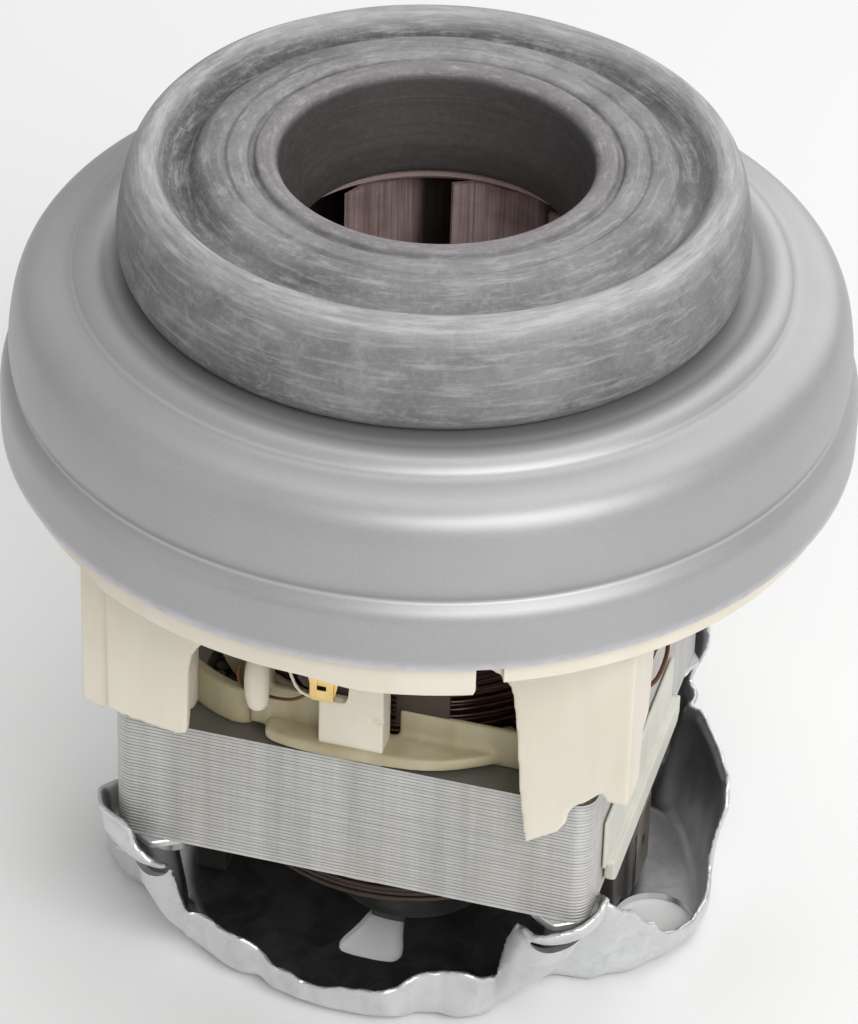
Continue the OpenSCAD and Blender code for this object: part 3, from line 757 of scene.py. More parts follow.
def stage():
    s = 3.0
    me = bpy.data.meshes.new("floor")
    me.from_pydata([(-s, -s, 0), (s, -s, 0), (s, s, 0), (-s, s, 0)], [], [(0, 1, 2, 3)])
    fl = bpy.data.objects.new("floor", me)
    bpy.context.scene.collection.objects.link(fl)
    M = Mat("floor_pale")
    M.color(M.mix(M.noise(scale=3, detail=2), (0.80, 0.80, 0.80), (0.82, 0.82, 0.82)))
    M.set(Roughness=0.9, Specular_IOR_Level=0.1)
    me.materials.append(M.m)
    fl.location = (0, 0, -0.0002)
    w = bpy.context.scene.world or bpy.data.worlds.new("world")
    bpy.context.scene.world = w
    w.use_nodes = True
    nt = w.node_tree
    nt.nodes.clear()
    out = nt.nodes.new("ShaderNodeOutputWorld")
    bg = nt.nodes.new("ShaderNodeBackground")
    bg.inputs[0].default_value = (1.0, 1.0, 1.0, 1)
    bg.inputs[1].default_value = 0.42
    nt.links.new(bg.outputs[0], out.inputs[0])
    area("key", (0.75, -0.62, 0.85), 0.7, 7.8)
    area("fill", (-0.9, -0.6, 0.45), 0.8, 0.7)
    area("top", (0.12, 0.25, 1.1), 0.9, 4.2)
    area("back", (0.3, 1.0, 0.6), 0.8, 3.5)
    area("front", (0.24, -0.70, 0.70), 0.30, 1.9)


stage()
try:
    bpy.context.scene.view_settings.view_transform = "Standard"
    bpy.context.scene.view_settings.look = "None"
except TypeError:
    pass


# ------------------------------------------------------------ rubber seal
def seal():
    p = [(20.7, 123.4), (20.7, 127.4), (21.4, 129.5), (23.2, 136.4), (23.7, 138.0), (24.2, 138.75), (24.8, 139.0),
         (26.6, 139.0), (26.95, 138.6), (27.1, 137.9), (27.8, 137.8), (28.0, 138.4), (28.5, 138.8), (31.0, 138.75), (31.3, 138.3), (31.75, 138.3),
         (32.1, 138.65), (34.0, 138.5), (35.0, 138.2), (35.8, 137.5), (36.8, 136.1), (38.0, 135.3), (39.4, 135.5), (40.8, 136.8),
         (41.5, 138.1), (42.6, 138.95), (43.7, 138.9), (44.9, 137.9), (45.9, 136.2), (46.6, 133.8), (47.1, 131.0), (47.5, 128.0),
         (47.6, 125.2), (47.2, 123.3), (46.4, 121.7), (45.4, 121.1), (43.5, 120.9), (28.2, 120.9), (28.2, 126.6),
         (26.4, 126.6), (26.4, 121.1), (24.4, 121.1), (22.6, 121.8), (21.1, 122.7)]
    q = chaikin(p, 2, closed=True)

    def wob(a, r, z, j):
        k = 0.10 * math.sin(3 * a + 0.6) + 0.06 * math.sin(7 * a + 1.9) + 0.03 * math.sin(13 * a)
        t = min(max((r - 33) / 8, 0), 1)
        if z > 130:
            return r, z + k * t * 0.8 - 0.12 * t
        return r, z
    return lathe("seal_ring_skin", q, RUBBER, n=300, wob=wob, slot="seal_rubber", rep=("seal_ring",), sharp=50)


# ------------------------------------------------------------ fan cover
def cover():
    p = [(65.5, 93.0), (65.5, 96.0), (65.5, 99.4), (65.3, 101.0), (64.75, 102.2), (63.9, 103.15), (63.3, 103.72),
         (63.7, 104.6), (64.05, 106.0), (64.02, 108.5), (63.65, 111.3), (63.2, 113.6), (62.4, 115.7), (61.1, 117.3),
         (59.3, 118.3), (57.2, 118.8), (55.3, 119.1), (54.5, 119.55), (53.8, 120.4), (52.7, 121.05), (51.4, 121.22),
         (50.2, 121.05), (49.2, 120.7), (48.2, 120.6), (47.0, 120.6)]
    o = chaikin(p, 2)
    o += [np.array(q, float) for q in ((40, 120.6), (28.7, 120.6))]
    o += [np.array(q, float) for q in ((28.2, 120.85), (27.95, 121.3), (27.9, 122), (27.9, 126.1))]
    inn = []
    for i in range(len(o)):
        a, b = o[max(i - 1, 0)], o[min(i + 1, len(o) - 1)]
        t = (b - a) / np.linalg.norm(b - a)
        inn.append(o[i] + 0.95 * np.array([-t[1], t[0]]))
    prof = o + inn[::-1]

    def wob(a, r, z, j):
        # a small dent in the left flank of the dome
        d = math.hypot((math.degrees(a) % 360 - 209.5) / 1.1, (z - 108.2) / 1.9)
        if d < 1 and r > 60:
            k = (1 - d * d) ** 2
            return r - 0.28 * k, z
        return r, z
    return lathe("fan_cover_skin", prof, COVER, n=360, wob=wob, slot="cover_sheet", rep=("fan_cover",), sharp=28)


# ------------------------------------------------------------ plastic housing
def circ(cx, cy, r, a0, a1, n):
    return [(cx + r * math.cos(math.radians(a0 + (a1 - a0) * i / n)), cy + r * math.sin(math.radians(a0 + (a1 - a0) * i / n))) for i in range(n + 1)]


def rsq(h, r, n=10):
    o = []
    for cx, cy, a in ((1, 1, 0), (-1, 1, 90), (-1, -1, 180), (1, -1, 270)):
        o += circ(cx * (h - r), cy * (h - r), r, a, a + 90, n)
    return o


def sect(r0, r1, a0, a1, n=24):
    return circ(0, 0, r1, a0, a1, n) + circ(0, 0, r0, a1, a0, n)


ROT90 = [Matrix.Rotation(math.radians(90 * k), 4, "Z") for k in range(4)]


def xz_prism(outline, y0, y1):
    v, f = prism_data(outline, y0, y1)
    return [(a, c, b) for a, b, c in v], f


def yz_prism(outline, x0, x1):
    v, f = prism_data(outline, x0, x1)
    return [(c, a, b) for a, b, c in v], f


LEG_CUT = [(-60, 30), (60, 30), (60, 56.3), (40, 56.3), (36.6, 56), (33.8, 54.6), (33.0, 50.6), (31.6, 48.2), (29.6, 46.2),
           (27.9, 45), (27.3, 56), (26.6, 76), (26.0, 80.5), (24.4, 84), (22.4, 85.8), (20, 86.4), (-21, 86.4), (-23.6, 85),
           (-25.2, 82), (-26.1, 77), (-27.0, 60), (-27.2, 52.9), (-31, 50.8), (-35.6, 54), (-37.2, 56.4), (-39, 54.6),
           (-41, 54.6), (-60, 54.6)]
SIDE_PLATE = [(-38.7, 54.7), (-33.7, 54.7), (-32.5, 55.7), (-31.6, 64.3), (-28.3, 65.1), (-27.5, 72), (-26.4, 80), (-26.1, 90.7), (-38.7, 90.7)]


def smooth_mesh(ob, voxel, factor=0.5, times=4):
    m = ob.modifiers.new("r", "REMESH")
    m.mode = "VOXEL"
    m.voxel_size = voxel * MM
    s = ob.modifiers.new("s", "SMOOTH")
    s.factor = factor
    s.iterations = times
    apply_mods(ob)


def ring_prism(outer, inner, z0, z1):
    """Tube between two outlines of the same length."""
    n = len(outer)
    V = [(p[0], p[1], z) for z in (z0, z1) for p in outer] + [(p[0], p[1], z) for z in (z0, z1) for p in inner]
    F = []
    for i in range(n):
        j = (i + 1) % n
        F += [(i, j, n + j, n + i), (2 * n + j, 2 * n + i, 3 * n + i, 3 * n + j), (n + i, n + j, 3 * n + j, 3 * n + i), (j, i, 2 * n + i, 2 * n + j)]
    return V, F


def housing():
    right = [(27.7, 45), (32.7, 48.3), (33.9, 50.2), (34.1, 52), (35, 53.8), (36.7, 55), (39.3, 57.6), (39.8, 56.2), (41.1, 55.8),
             (43.2, 56.4), (43.2, 90.7), (20.3, 90.7), (20.3, 78), (20.6, 76.9), (22.7, 76.3), (24.4, 74.5), (24.9, 72.7), (25.6, 67), (26.6, 54)]
    left = [(-39.0, 54.4), (-37.9, 55), (-37.1, 54.3), (-28, 52.6), (-26.2, 52.8), (-26.1, 55.1), (-25.8, 65.6), (-25.2, 68.6), (-23.9, 70.6),
            (-21.9, 72.4), (-21.9, 90.7), (-39.0, 90.7)]
    outer_left = [(-43.2, 55.2), (-42.4, 54.8), (-40, 53.9), (-38.0, 54.8), (-38.0, 90.7), (-43.2, 90.7)]
    parts = []
    for s in (0, 180):
        R = Matrix.Rotation(math.radians(s), 4, "Z")

        def put(d, M=R):
            parts.append((xform(d[0], M), d[1]))
        put(xz_prism(right, -40.15, -38.1))
        put(xz_prism(left, -40.15, -38.1))
        put(xz_prism(outer_left, -39.2, -37.1))
        # panels along the two sides
        for sx, y0 in ((1, -40.1), (-1, -39.1)):
            q = [(y0, 55.9 if sx > 0 else 55.1)] + [p for p in SIDE_PLATE[1:-1]] + [(y0, 90.7)]
            put(yz_prism(q, 41.1, 43.2) if sx > 0 else yz_prism(q, -43.2, -41.1))
            # inner web that joins each corner to its screw post
            put(boxv(*((30.5, 32.5) if sx > 0 else (-32.5, -30.5)), -39, -31.5, 52.1, 91))
            put(boxv(*((31.5, 42.5) if sx > 0 else (-42.5, -31.5)), -32.5, -30.5, 56.5, 91))
            put(prism_data(circ(sx * 31.5, -31.5, 4.35, 0, 345, 23), 52.1, 91))
        # the long sides keep a rib under the plate
        put(boxv(-26, 26, -39.6, -37.9, 86.6, 91))
    for k in range(4):
        v, f = boxv(12.5, 46, -1.5, 1.5, 84, 91)
        parts.append((xform(v, ROT90[k] @ Matrix.Rotation(math.radians(45), 4, "Z")), f))
    # bearing hub
    parts.append(lathe_data([(14, 77.6), (14, 91), (8.3, 91), (8.3, 85.4), (11.05, 85.4), (11.05, 77.6)], 64))
    rest = mesh_object("housing_legs", *merge(parts))
    smooth_mesh(rest, 0.45, 0.5, 3)
    finish_mesh(rest, IVORY, 0)
    settle(rest, "frame", ("motor_housing",))
    # flange with a soft lip, open below; the lip has a short slot beside each long leg
    prof = [(58.2, 92.8), (58.2, 90.3), (60.3, 90.1), (60.9, 89.3), (60.95, 87.3), (61.15, 86.75), (61.7, 86.52), (62.8, 86.52),
            (63.25, 86.75), (63.42, 87.3), (63.42, 92.6), (64.0, 92.85), (64.18, 93.2), (64.18, 97.4), (63.9, 97.6), (61.4, 97.6), (61.2, 97.4), (61.2, 92.9)]
    def skirt(a, r, z, j):
        t = math.degrees(a) % 180
        g = min(max((t - 54.6) / 0.8, 0), 1) * min(max((112.6 - t) / 0.8, 0), 1)
        h = min(max((98.0 - t) / 10.0, 0), 1)
        h = h * h * (3 - 2 * h)
        k = (1 - g) * 0.56 + g * h * 0.34
        return r, (z if z > 90.2 else z + k * (90.2 - z))
    v, f = lathe_data(prof, 480, wob=skirt)
    fl = mesh_object("housing_flange", v, f)
    for k in (0, 2):
        M = ROT90[k] @ Matrix.Rotation(math.radians(293.9), 4, "Z")
        o = fillet([(-2.05, 80), (2.05, 80), (2.05, 92.4), (-2.05, 92.4)], [0, 0, 0.9, 0.9], 5)
        cv, cf = yz_prism(o, 60, 66)
        boolean(fl, mesh_object("cut", xform(cv, M), cf))
    finish_mesh(fl, IVORY, 30)
    settle(fl, "frame", ("motor_housing",))
    # top plate with its air passages
    pl = mesh_object("housing_plate", *prism_data(circ(0, 0, 60.0, 0, 357, 119), 90.25, 92.85, 0.25))
    cuts = []
    for i in range(4):
        for a0, a1 in ((52, 82), (8, 38)):
            v, f = prism_data(fillet(sect(19, 53, a0, a1), 1.5, 3), 88, 95)
            cuts.append((xform(v, ROT90[i]), f))
    cuts.append(prism_data(circ(0, 0, 8.4, 0, 354, 59), 88, 95))
    boolean(pl, mesh_object("cut", *merge(cuts)))
    finish_mesh(pl, IVORY, 30)
    settle(pl, "frame", ("motor_housing",))


# ------------------------------------------------------------ stator
def cad_copy(node):
    src = NODES[node]
    me = src.data.copy()
    me.transform(src.matrix_world)
    return me


def laminations():
    me = cad_copy("stator_core")
    bm = bmesh.new()
    bm.from_mesh(me)
    bmesh.ops.remove_doubles(bm, verts=bm.verts, dist=1e-6)
    n = 38
    z0, z1 = 28.7, 52.0
    rr = np.random.default_rng(3)
    grooves = []
    for i in range(1, n):
        zg = z0 + (z1 - z0) * i / n
        grooves.append(zg)
        for dz in (-0.08, 0.0, 0.08):
            geom = list(bm.verts) + list(bm.edges) + list(bm.faces)
            bmesh.ops.bisect_plane(bm, geom=geom, plane_co=(0, 0, (zg + dz) * MM), plane_no=(0, 0, 1), dist=1e-7)
    depth = [0.15 + 0.02 * float(rr.random()) for _ in grooves]
    out = [0.02 * float(rr.random()) for _ in range(n + 1)]
    for v in bm.verts:
        x, y, z = v.co.x / MM, v.co.y / MM, v.co.z / MM
        # outer wall only: distance to the rounded square
        qx, qy = max(abs(x) - 31.5, 0.0), max(abs(y) - 31.5, 0.0)
        d = math.hypot(qx, qy)
        if d < 5.8:
            continue
        nx, ny = (qx / d) * (1 if x > 0 else -1), (qy / d) * (1 if y > 0 else -1)
        if abs(x) > 31.49 and abs(y) > 31.49:
            # the sheets have a tight corner of 3 mm
            x = (34.5 + 3.0 * qx / d) * (1 if x > 0 else -1)
            y = (34.5 + 3.0 * qy / d) * (1 if y > 0 else -1)
            v.co.x, v.co.y = x * MM, y * MM
        if x < -31.4:
            v.co.x -= 1.6 * MM
        k = out[min(n, max(0, int((z - z0) / (z1 - z0) * n)))]
        for zg, dp in zip(grooves, depth):
            if abs(z - zg) < 0.02:
                k = dp
        v.co.x -= nx * k * MM
        v.co.y -= ny * k * MM
    bm.to_mesh(me)
    bm.free()
    ob = bpy.data.objects.new("lamination_stack", me)
    bpy.context.scene.collection.objects.link(ob)
    finish_mesh(ob, LAM, 25)
    settle(ob, "frame", ("stator_core",))


def coils():
    parts, dark = [], []
    rr = np.random.default_rng(5)
    for s in (0, 180):
        R = Matrix.Rotation(math.radians(s), 4, "Z")
        for zb, zt in ((19.9, 27.2), (53.6, 60.9)):
            nr, nz = 7, 8
            for i in range(nr):
                for j in range(nz):
                    if 0 < i < nr - 1 and 0 < j < nz - 1:
                        continue
                    r0 = 24.6 + (30.7 - 24.6) * i / (nr - 1)
                    z0 = zb + 0.2 + (zt - zb - 0.4) * j / (nz - 1)
                    ph = rr.random() * 6.28
                    path = []
                    for k in range(27):
                        a = math.radians(22 + 136 * k / 26)
                        q = r0 + 0.18 * math.sin(3.1 * a + ph)
                        path.append((q * math.cos(a), q * math.sin(a), z0 + 0.15 * math.sin(4.3 * a + 2 * ph)))
                    v, f = tube_data(path, 0.47, 6)
                    parts.append((xform(v, R), f))
            v, f = prism_data(sect(24.9, 30.4, 21.6, 158.4), zb + 0.3, zt - 0.3)
            dark.append((xform(v, R), f))
        # straight runs in the slots
        for sx in (1, -1):
            S = R @ Matrix.Diagonal((sx, 1, 1, 1))
            for gx in range(5):
                for gy in range(7):
                    x, y = 16.2 + gx * 2.6, 13.0 + gy * 2.35
                    if x + 0.3 > 27.2 or y > 27.0 or math.hypot(x, y) < 26.3 or (math.hypot(x, y) > 30.4 and False):
                        continue
                    v, f = tube_data([(x, y, 28.9), (x + 0.1, y, 40), (x, y, 51.3)], 1.1, 8)
                    dark.append((xform(v, S), f))
    low = [q for q in parts if q[0][0][2] < 40]
    parts = [q for q in parts if q[0][0][2] >= 40]
    # the lower end turns get the darker material: painted shade under the stack
    add("coil_strands_low", *merge(low), DARKIN, slot="enamelled_wire", rep=("stator_coils",), sharp=0)
    add("coil_strands", *merge(parts), WIRE, slot="enamelled_wire", rep=("stator_coils",), sharp=0)
    add("coil_body", *merge(dark), DARKIN, slot="enamelled_wire", rep=("stator_coils",), sharp=35)


def soft(name, parts, mat, voxel=0.32, times=3, **kw):
    ob = mesh_object(name, *merge(parts))
    smooth_mesh(ob, voxel, 0.5, times)
    finish_mesh(ob, mat, 0)
    settle(ob, kw.get("body", "frame"), kw.get("rep", ()))
    return ob


def insulators():
    up, lo = [], []
    for s in (0, 180):
        R = Matrix.Rotation(math.radians(s), 4, "Z")

        def put(lst, d):
            lst.append((xform(d[0], R), d[1]))
        put(up, prism_data(sect(31.55, 33.0, 199.5, 276.0, 30), 52.05, 58.2))
        put(up, prism_data(sect(31.55, 33.0, 322.0, 340.5, 12), 52.05, 58.2))
        put(up, boxv(5.4, 25.2, -31.95, -31.0, 52.1, 59.1))
        put(up, boxv(24.6, 26.4, -31.95, -19.6, 52.1, 58.3))
        put(up, prism_data(sect(22.35, 23.6, 204.5, 335.5, 40), 52.05, 62.4))
        put(up, prism_data(sect(31.8, 33.0, 205, 335, 40), 52.05, 52.9))
        # flat tray in front of the wall, with a rounded edge
        outer = [(-14.4, -31.0), (-15.2, -36.6), (-12.6, -38.0), (-5.2, -38.7), (4.9, -38.4), (10.3, -37.8), (14.7, -36.4), (20.6, -33.0), (23.6, -30.4), (23.2, -26.0)]
        arc = [(32.3 * math.cos(math.radians(a)), 32.3 * math.sin(math.radians(a))) for a in np.linspace(311, 246, 30)]
        put(up, prism_data(chaikin(outer, 1) + [np.array(q) for q in arc], 52.5, 54.7, 0.5))
        # arm wall that reaches back to the left leg
        path = [(-31.0, -27.0), (-29.4, -28.4), (-25.2, -31.3), (-21.1, -33.1), (-18.6, -33.4), (-16.5, -32.1), (-14.8, -31.6)]
        pw = catmull([(x, y, 0.0) for x, y in path], 6)
        left = [(q[0] - 0.5, q[1] - 0.75) for q in pw]
        right = [(q[0] + 0.5, q[1] + 0.75) for q in pw][::-1]
        put(up, prism_data(left + right, 52.1, 59.0))
        for a in (225, 315, 212):
            ca, sa = math.cos(math.radians(a)), math.sin(math.radians(a))
            put(up, tube_data([(27.6 * ca, 27.6 * sa, 52.4), (32.4 * ca, 32.4 * sa, 52.4)], 0.35, 8))
        put(lo, prism_data(sect(31.55, 33.0, 199.5, 340.5, 48), 24.3, 28.6))
        put(lo, prism_data(sect(22.35, 23.6, 204.5, 335.5, 40), 18.7, 28.6))
        put(lo, prism_data(sect(22.4, 33.0, 246, 294, 24), 27.7, 28.6))
    soft("upper_insulator_skin", up, IVORY_SHADED, 0.35, 3, slot="ivory_plastic", rep=("upper_coil_insulator",))
    soft("lower_insulator_skin", lo, IVORY_SHADED, 0.35, 3, slot="ivory_plastic", rep=("lower_coil_insulator",))


def terminals():
    iv, br, wires, dk, arm = [], [], [], [], []
    for s in (0, 180):
        R = Matrix.Rotation(math.radians(s), 4, "Z")

        def put(lst, d):
            lst.append((xform(d[0], R), d[1]))
        blk = mesh_object("b", *boxv(-5.95, 4.3, -37.6, -33.2, 52.1, 69.0))
        boolean(blk, mesh_object("c", *boxv(-12.2, -0.6, -39, -30, 63.7, 72)))
        boolean(blk, mesh_object("c", *boxv(-9, 6, -36.6, -34.0, 66.8, 72)))
        boolean(blk, mesh_object("c", *boxv(2.2, 8, -40, -36.9, 60.2, 61.0)))
        V = [tuple(q / MM for q in v.co) for v in blk.data.vertices]
        F = [tuple(p.vertices) for p in blk.data.polygons]
        bpy.data.objects.remove(blk)
        put(iv, (V, F))
        # finger that the winding end is led round
        fing = []
        peg = catmull([(-16.2, -34.0, 66.0), (-16.3, -35.2, 64.8), (-16.2, -36.0, 62.0), (-16.0, -36.2, 59.2), (-15.9, -36.1, 58.0)], 5)
        rad = [1.55 + 0.45 * math.sin(math.pi * min(1, k / (len(peg) - 1) * 1.1)) for k in range(len(peg))]
        rad[-1] = 1.0
        rad[-2] = 1.5
        put(iv, tube_data(peg, rad, 14))
        put(arm, boxv(-18.0, -14.4, -35.2, -30.5, 64.0, 66.6))
        put(arm, boxv(-17.8, -14.6, -34.2, -31.4, 53.0, 66.0))
        # wall behind the finger and the tray
        put(arm, boxv(-15.6, -5.2, -34.0, -33.0, 52.2, 60.6))
        rim = [(-10.5, -38.2, 69.2), (-10.3, -38.2, 67.5), (-9.4, -38.2, 65.2), (-8.6, -38.2, 64.1), (-6.8, -38.2, 63.5), (-3.4, -38.2, 63.2), (-1.5, -38.2, 63.3), (-0.9, -38.2, 64.6), (-0.6, -38.2, 67.5), (-0.5, -38.2, 69.2)]
        put(iv, tube_data(rim, 0.32, 8))
        plate = [(q[0], q[2]) for q in rim]
        put(dk, xz_prism(plate, -36.6, -34.4))
        # dark sheet between the block and the coil: painted shade in that gap
        put(dk, boxv(4.6, 13.2, -31.7, -31.2, 56.0, 64.5, 0.1))
        # brass clamp
        z0 = 63.0
        w = [(-4.25, z0 + 5.3), (-3.35, z0 + 0.9), (-2.9, z0 + 0.1), (-0.4, z0 + 0.1), (0.1, z0 + 0.9), (1.05, z0 + 5.3)]
        inn = [(0.35, z0 + 5.3), (-0.4, z0 + 1.35), (-0.7, z0 + 0.8), (-2.5, z0 + 0.8), (-2.9, z0 + 1.35), (-3.55, z0 + 5.3)]
        for ya, yb in ((-38.15, -37.75), (-34.3, -33.9)):
            put(br, xz_prism([(x - 3.4, z) for x, z in w + inn], ya, yb))
        put(br, boxv(-6.6, -3.6, -38.1, -33.9, z0 + 0.15, z0 + 0.75, 0.15))
        put(br, boxv(-6.9, -3.5, -38.5, -37.9, z0 + 0.2, z0 + 2.3, 0.16, 2))
        put(br, boxv(-7.1, -5.9, -38.6, -38.0, z0 + 0.6, z0 + 5.6, 0.16, 2))
        put(br, boxv(-4.5, -3.3, -38.6, -38.0, z0 + 0.6, z0 + 5.6, 0.16, 2))
        put(br, boxv(-6.2, -4.2, -38.4, -37.8, z0 + 3.0, z0 + 4.3, 0.16, 2))
        pts = [(-16, -29, 66.4), (-17.6, -32.0, 66.4), (-19.2, -34.6, 64.4), (-19.2, -35.4, 61.6), (-17.8, -35.2, 59.8), (-15.6, -34.7, 59.2),
               (-13.0, -35.4, 59.6), (-10.4, -36.4, 60.8), (-8.2, -37.2, 62.8), (-6.8, -37.6, 65.2), (-6.0, -37.6, 67.0)]
        put(wires, tube_data(catmull(pts, 7), 0.27, 8))
        put(wires, tube_data(catmull([(26.6, -12.6, 60.2), (27.6, -12.0, 63.6), (31.0, -10.6, 67.4), (36.0, -9.8, 69.6), (40.4, -11.0, 69.4), (42.6, -14.5, 68.5), (43.3, -19.0, 68.1), (43.1, -24.5, 68.3), (41.4, -28.6, 68.9), (39.0, -31.0, 69.4)], 7), 0.36, 8))
        pts = [(15.2, -25.6, 60.2), (15.6, -26.8, 62.4), (13.6, -28.8, 65.0), (10, -31, 66.4), (5, -34.6, 68.6), (0.6, -36.0, 69.0), (-3.4, -36.2, 67.6)]
        put(wires, tube_data(catmull(pts, 7), 0.42, 8))
    soft("terminal_arm_skin", arm, IVORY_SHADED, 0.34, 2, slot="ivory_plastic", rep=("terminal_blocks",))
    soft("terminal_block_skin", iv, IVORY, 0.3, 2, slot="ivory_plastic", rep=("terminal_blocks",))
    add("clamp_pocket", *merge(dk), DARKIN, slot="ivory_plastic", rep=("terminal_blocks",), sharp=35)
    add("brass_clamp_skin", *merge(br), BRASS, slot="brass", rep=("brass_terminals",), sharp=30)
    add("winding_lead_skin", *merge(wires), LEAD, slot="lead_sleeve", rep=("winding_leads",), sharp=0)


# ------------------------------------------------------------ pressed rear bracket
def lerp_keys(keys, t):
    if t <= keys[0][0]:
        return keys[0][1]
    for a, b in zip(keys, keys[1:]):
        if t <= b[0]:
            u = (t - a[0]) / (b[0] - a[0])
            u = u * u * (3 - 2 * u)
            return a[1] * (1 - u) + b[1] * u
    return keys[-1][1]


FOOT = [(45, 40.5), (60, 38.6), (120, 38.6), (140, 40.5), (150, 48.6), (170, 49.4), (184, 50.3), (194, 50.0), (200, 48.0), (205, 44.8), (209, 41.2), (213, 39.4), (222, 40.2), (229, 41.3), (234, 41.0), (238, 40.2), (245, 37.9),
        (250, 38.6), (262, 38.5), (274, 38.2), (282, 37.7), (287, 36.4), (291, 36.6), (297, 38.2), (303, 38.2), (308, 36.4), (313, 34.2),
        (320, 33.0), (326, 35.0), (334, 40.3), (342, 43.8), (350, 46.4), (356, 47.9), (364, 48.5), (372, 47.6), (380, 46.9), (388, 46.5), (394, 46.0), (400, 43.6), (405, 40.5)]
TOP = [(45, 33.5), (53, 33.0), (55, 28.0), (56, 8.0), (90, 7.0), (124, 8.0), (125, 28.0), (127, 33.0), (135, 33.8), (143, 33.0), (145, 24.0), (147, 21.5), (168, 21.5), (171, 20.0),
       (174, 6.5), (196, 6.0), (206, 9.0), (213, 18.0), (215.5, 31.5), (218, 34.2), (229, 33.4), (230.6, 29.4), (233.5, 27.8), (234.3, 9.8), (240, 9.0), (246, 6.9), (254, 6.2), (262, 5.2), (269, 6.1), (275, 6.7),
       (281, 7.4), (284, 8.8), (290, 10.0), (297, 10.9), (303, 9.4), (305.0, 9.2), (305.9, 26.6), (307.4, 27.6), (309.5, 28.6), (313, 29.2), (317, 30.2), (320, 31.6), (321.5, 28.5), (324, 23.0), (329, 20.0), (335, 16.8), (340, 12.6),
       (346, 7.4), (352, 4.8), (362, 4.6), (368, 6.5), (371.5, 18.5), (374, 21.5), (388, 21.8), (398, 21.0), (402, 22.5), (404, 31.0), (405, 33.5)]


def bracket_point(th, u):
    """Middle of the sheet at angle th, u from 0 at the foot of the wall to 1 at the rim."""
    t = th % 360
    t = t + 360 if t < 45 else t
    foot, top = lerp_keys(FOOT, t), lerp_keys(TOP, t)
    top = max(top, 2.6)
    # corner weight
    d = min((abs(t - c), c) for c in (46.5, 133.5, 226.5, 313.5, 406.5))
    dl = abs(t - d[1])
    z = 0.65 + (top - 0.65) * u
    r = foot + min(z, 7) * 0.02
    near = min(1.0, max(0.0, (17.0 - dl) / 4.0))
    if near > 0:
        r = r * (1 - near) + (foot + min(z, 7) * 0.03 + max(z - 7, 0) * 0.165 * min(1.0, max(0.0, (47.5 - foot) / 5.0))) * near
        w = min(1.0, max(0.0, (9.2 - dl) / 2.4))
        w = w * w * (3 - 2 * w)
        if w > 0:
            front = 1.0 if d[1] in (133.5, 313.5) else 0.0
            lip = min(1.0, max(0.0, (z - 24.4) / 3.4))
            lip = lip * lip * (3 - 2 * lip)
            rho = 6.6 + 1.7 * lip + 0.9 * (1 - front) + (1.6 * lip * min(1.0, max(0.0, (227.5 - t) / 4.5)) if d[1] == 226.5 else 0.0)
            s = 44.55 * math.sin(math.radians(min(dl, 8.2)))
            cup = 44.55 * math.cos(math.radians(dl)) + math.sqrt(max(rho * rho - s * s, 4.0))
            k = min(max((z - 2.5) / 23.0, 0), 1)
            flare = foot + (cup - foot) * (k ** 0.82)
            # boss with the end of the screw, under the half moon slot
            flare += 0.9 * math.exp(-(dl / 3.6) ** 2) * min(1, max(0, (z - 5) / 4)) * min(1, max(0, (20.5 - z) / 1.5))
            if z > 27:
                flare += 0.06 * (z - 27) + 0.75 * max(0, (z - top + 1.5) / 1.5)
            r = r * (1 - w) + flare * w
    # leaning side walls
    for a0, a1, k in ((326, 352, 0.40), (366, 402, 0.10), (146, 172, 0.10), (196, 212, 0.34)):
        if a0 < t < a1:
            g = min(1, (t - a0) / 5, (a1 - t) / 5)
            r += g * k * max(z - 2, 0) * (0.6 if k > 0.2 else 1.0)
    if 368 < t < 403 or 146 < t < 173:
        g = max(0.0, min(1, (t - (368 if t > 300 else 146)) / 3, ((403 if t > 300 else 173) - t) / 3))
        r += g * (0.5 * math.exp(-((z - 17) / 4.5) ** 2) + 0.7 * max(0, (z - top + 1.4) / 1.4))
    # shallow flutes in the low front and rear walls
    for c, wd, am in ((251, 1.6, 0.5), (257.5, 1.3, 0.35), (278, 3.0, 0.55), (268, 2.2, -0.25), (290, 2.2, 0.3), (300, 2.4, 0.3), (71, 2, 0.4), (78, 2, 0.3), (98, 3, 0.5)):
        r += am * math.exp(-((t - c) / wd) ** 2) * min(1, z / 3)
    # the edges beside the corners lean with the height
    tw = 0.0
    if 226 < t < 242:
        g = max(0.0, 1 - abs(t - 233.9) / 7.0)
        tw = 0.34 * (min(z, 27) - 27) * g
    return r, z, math.radians(t + tw)


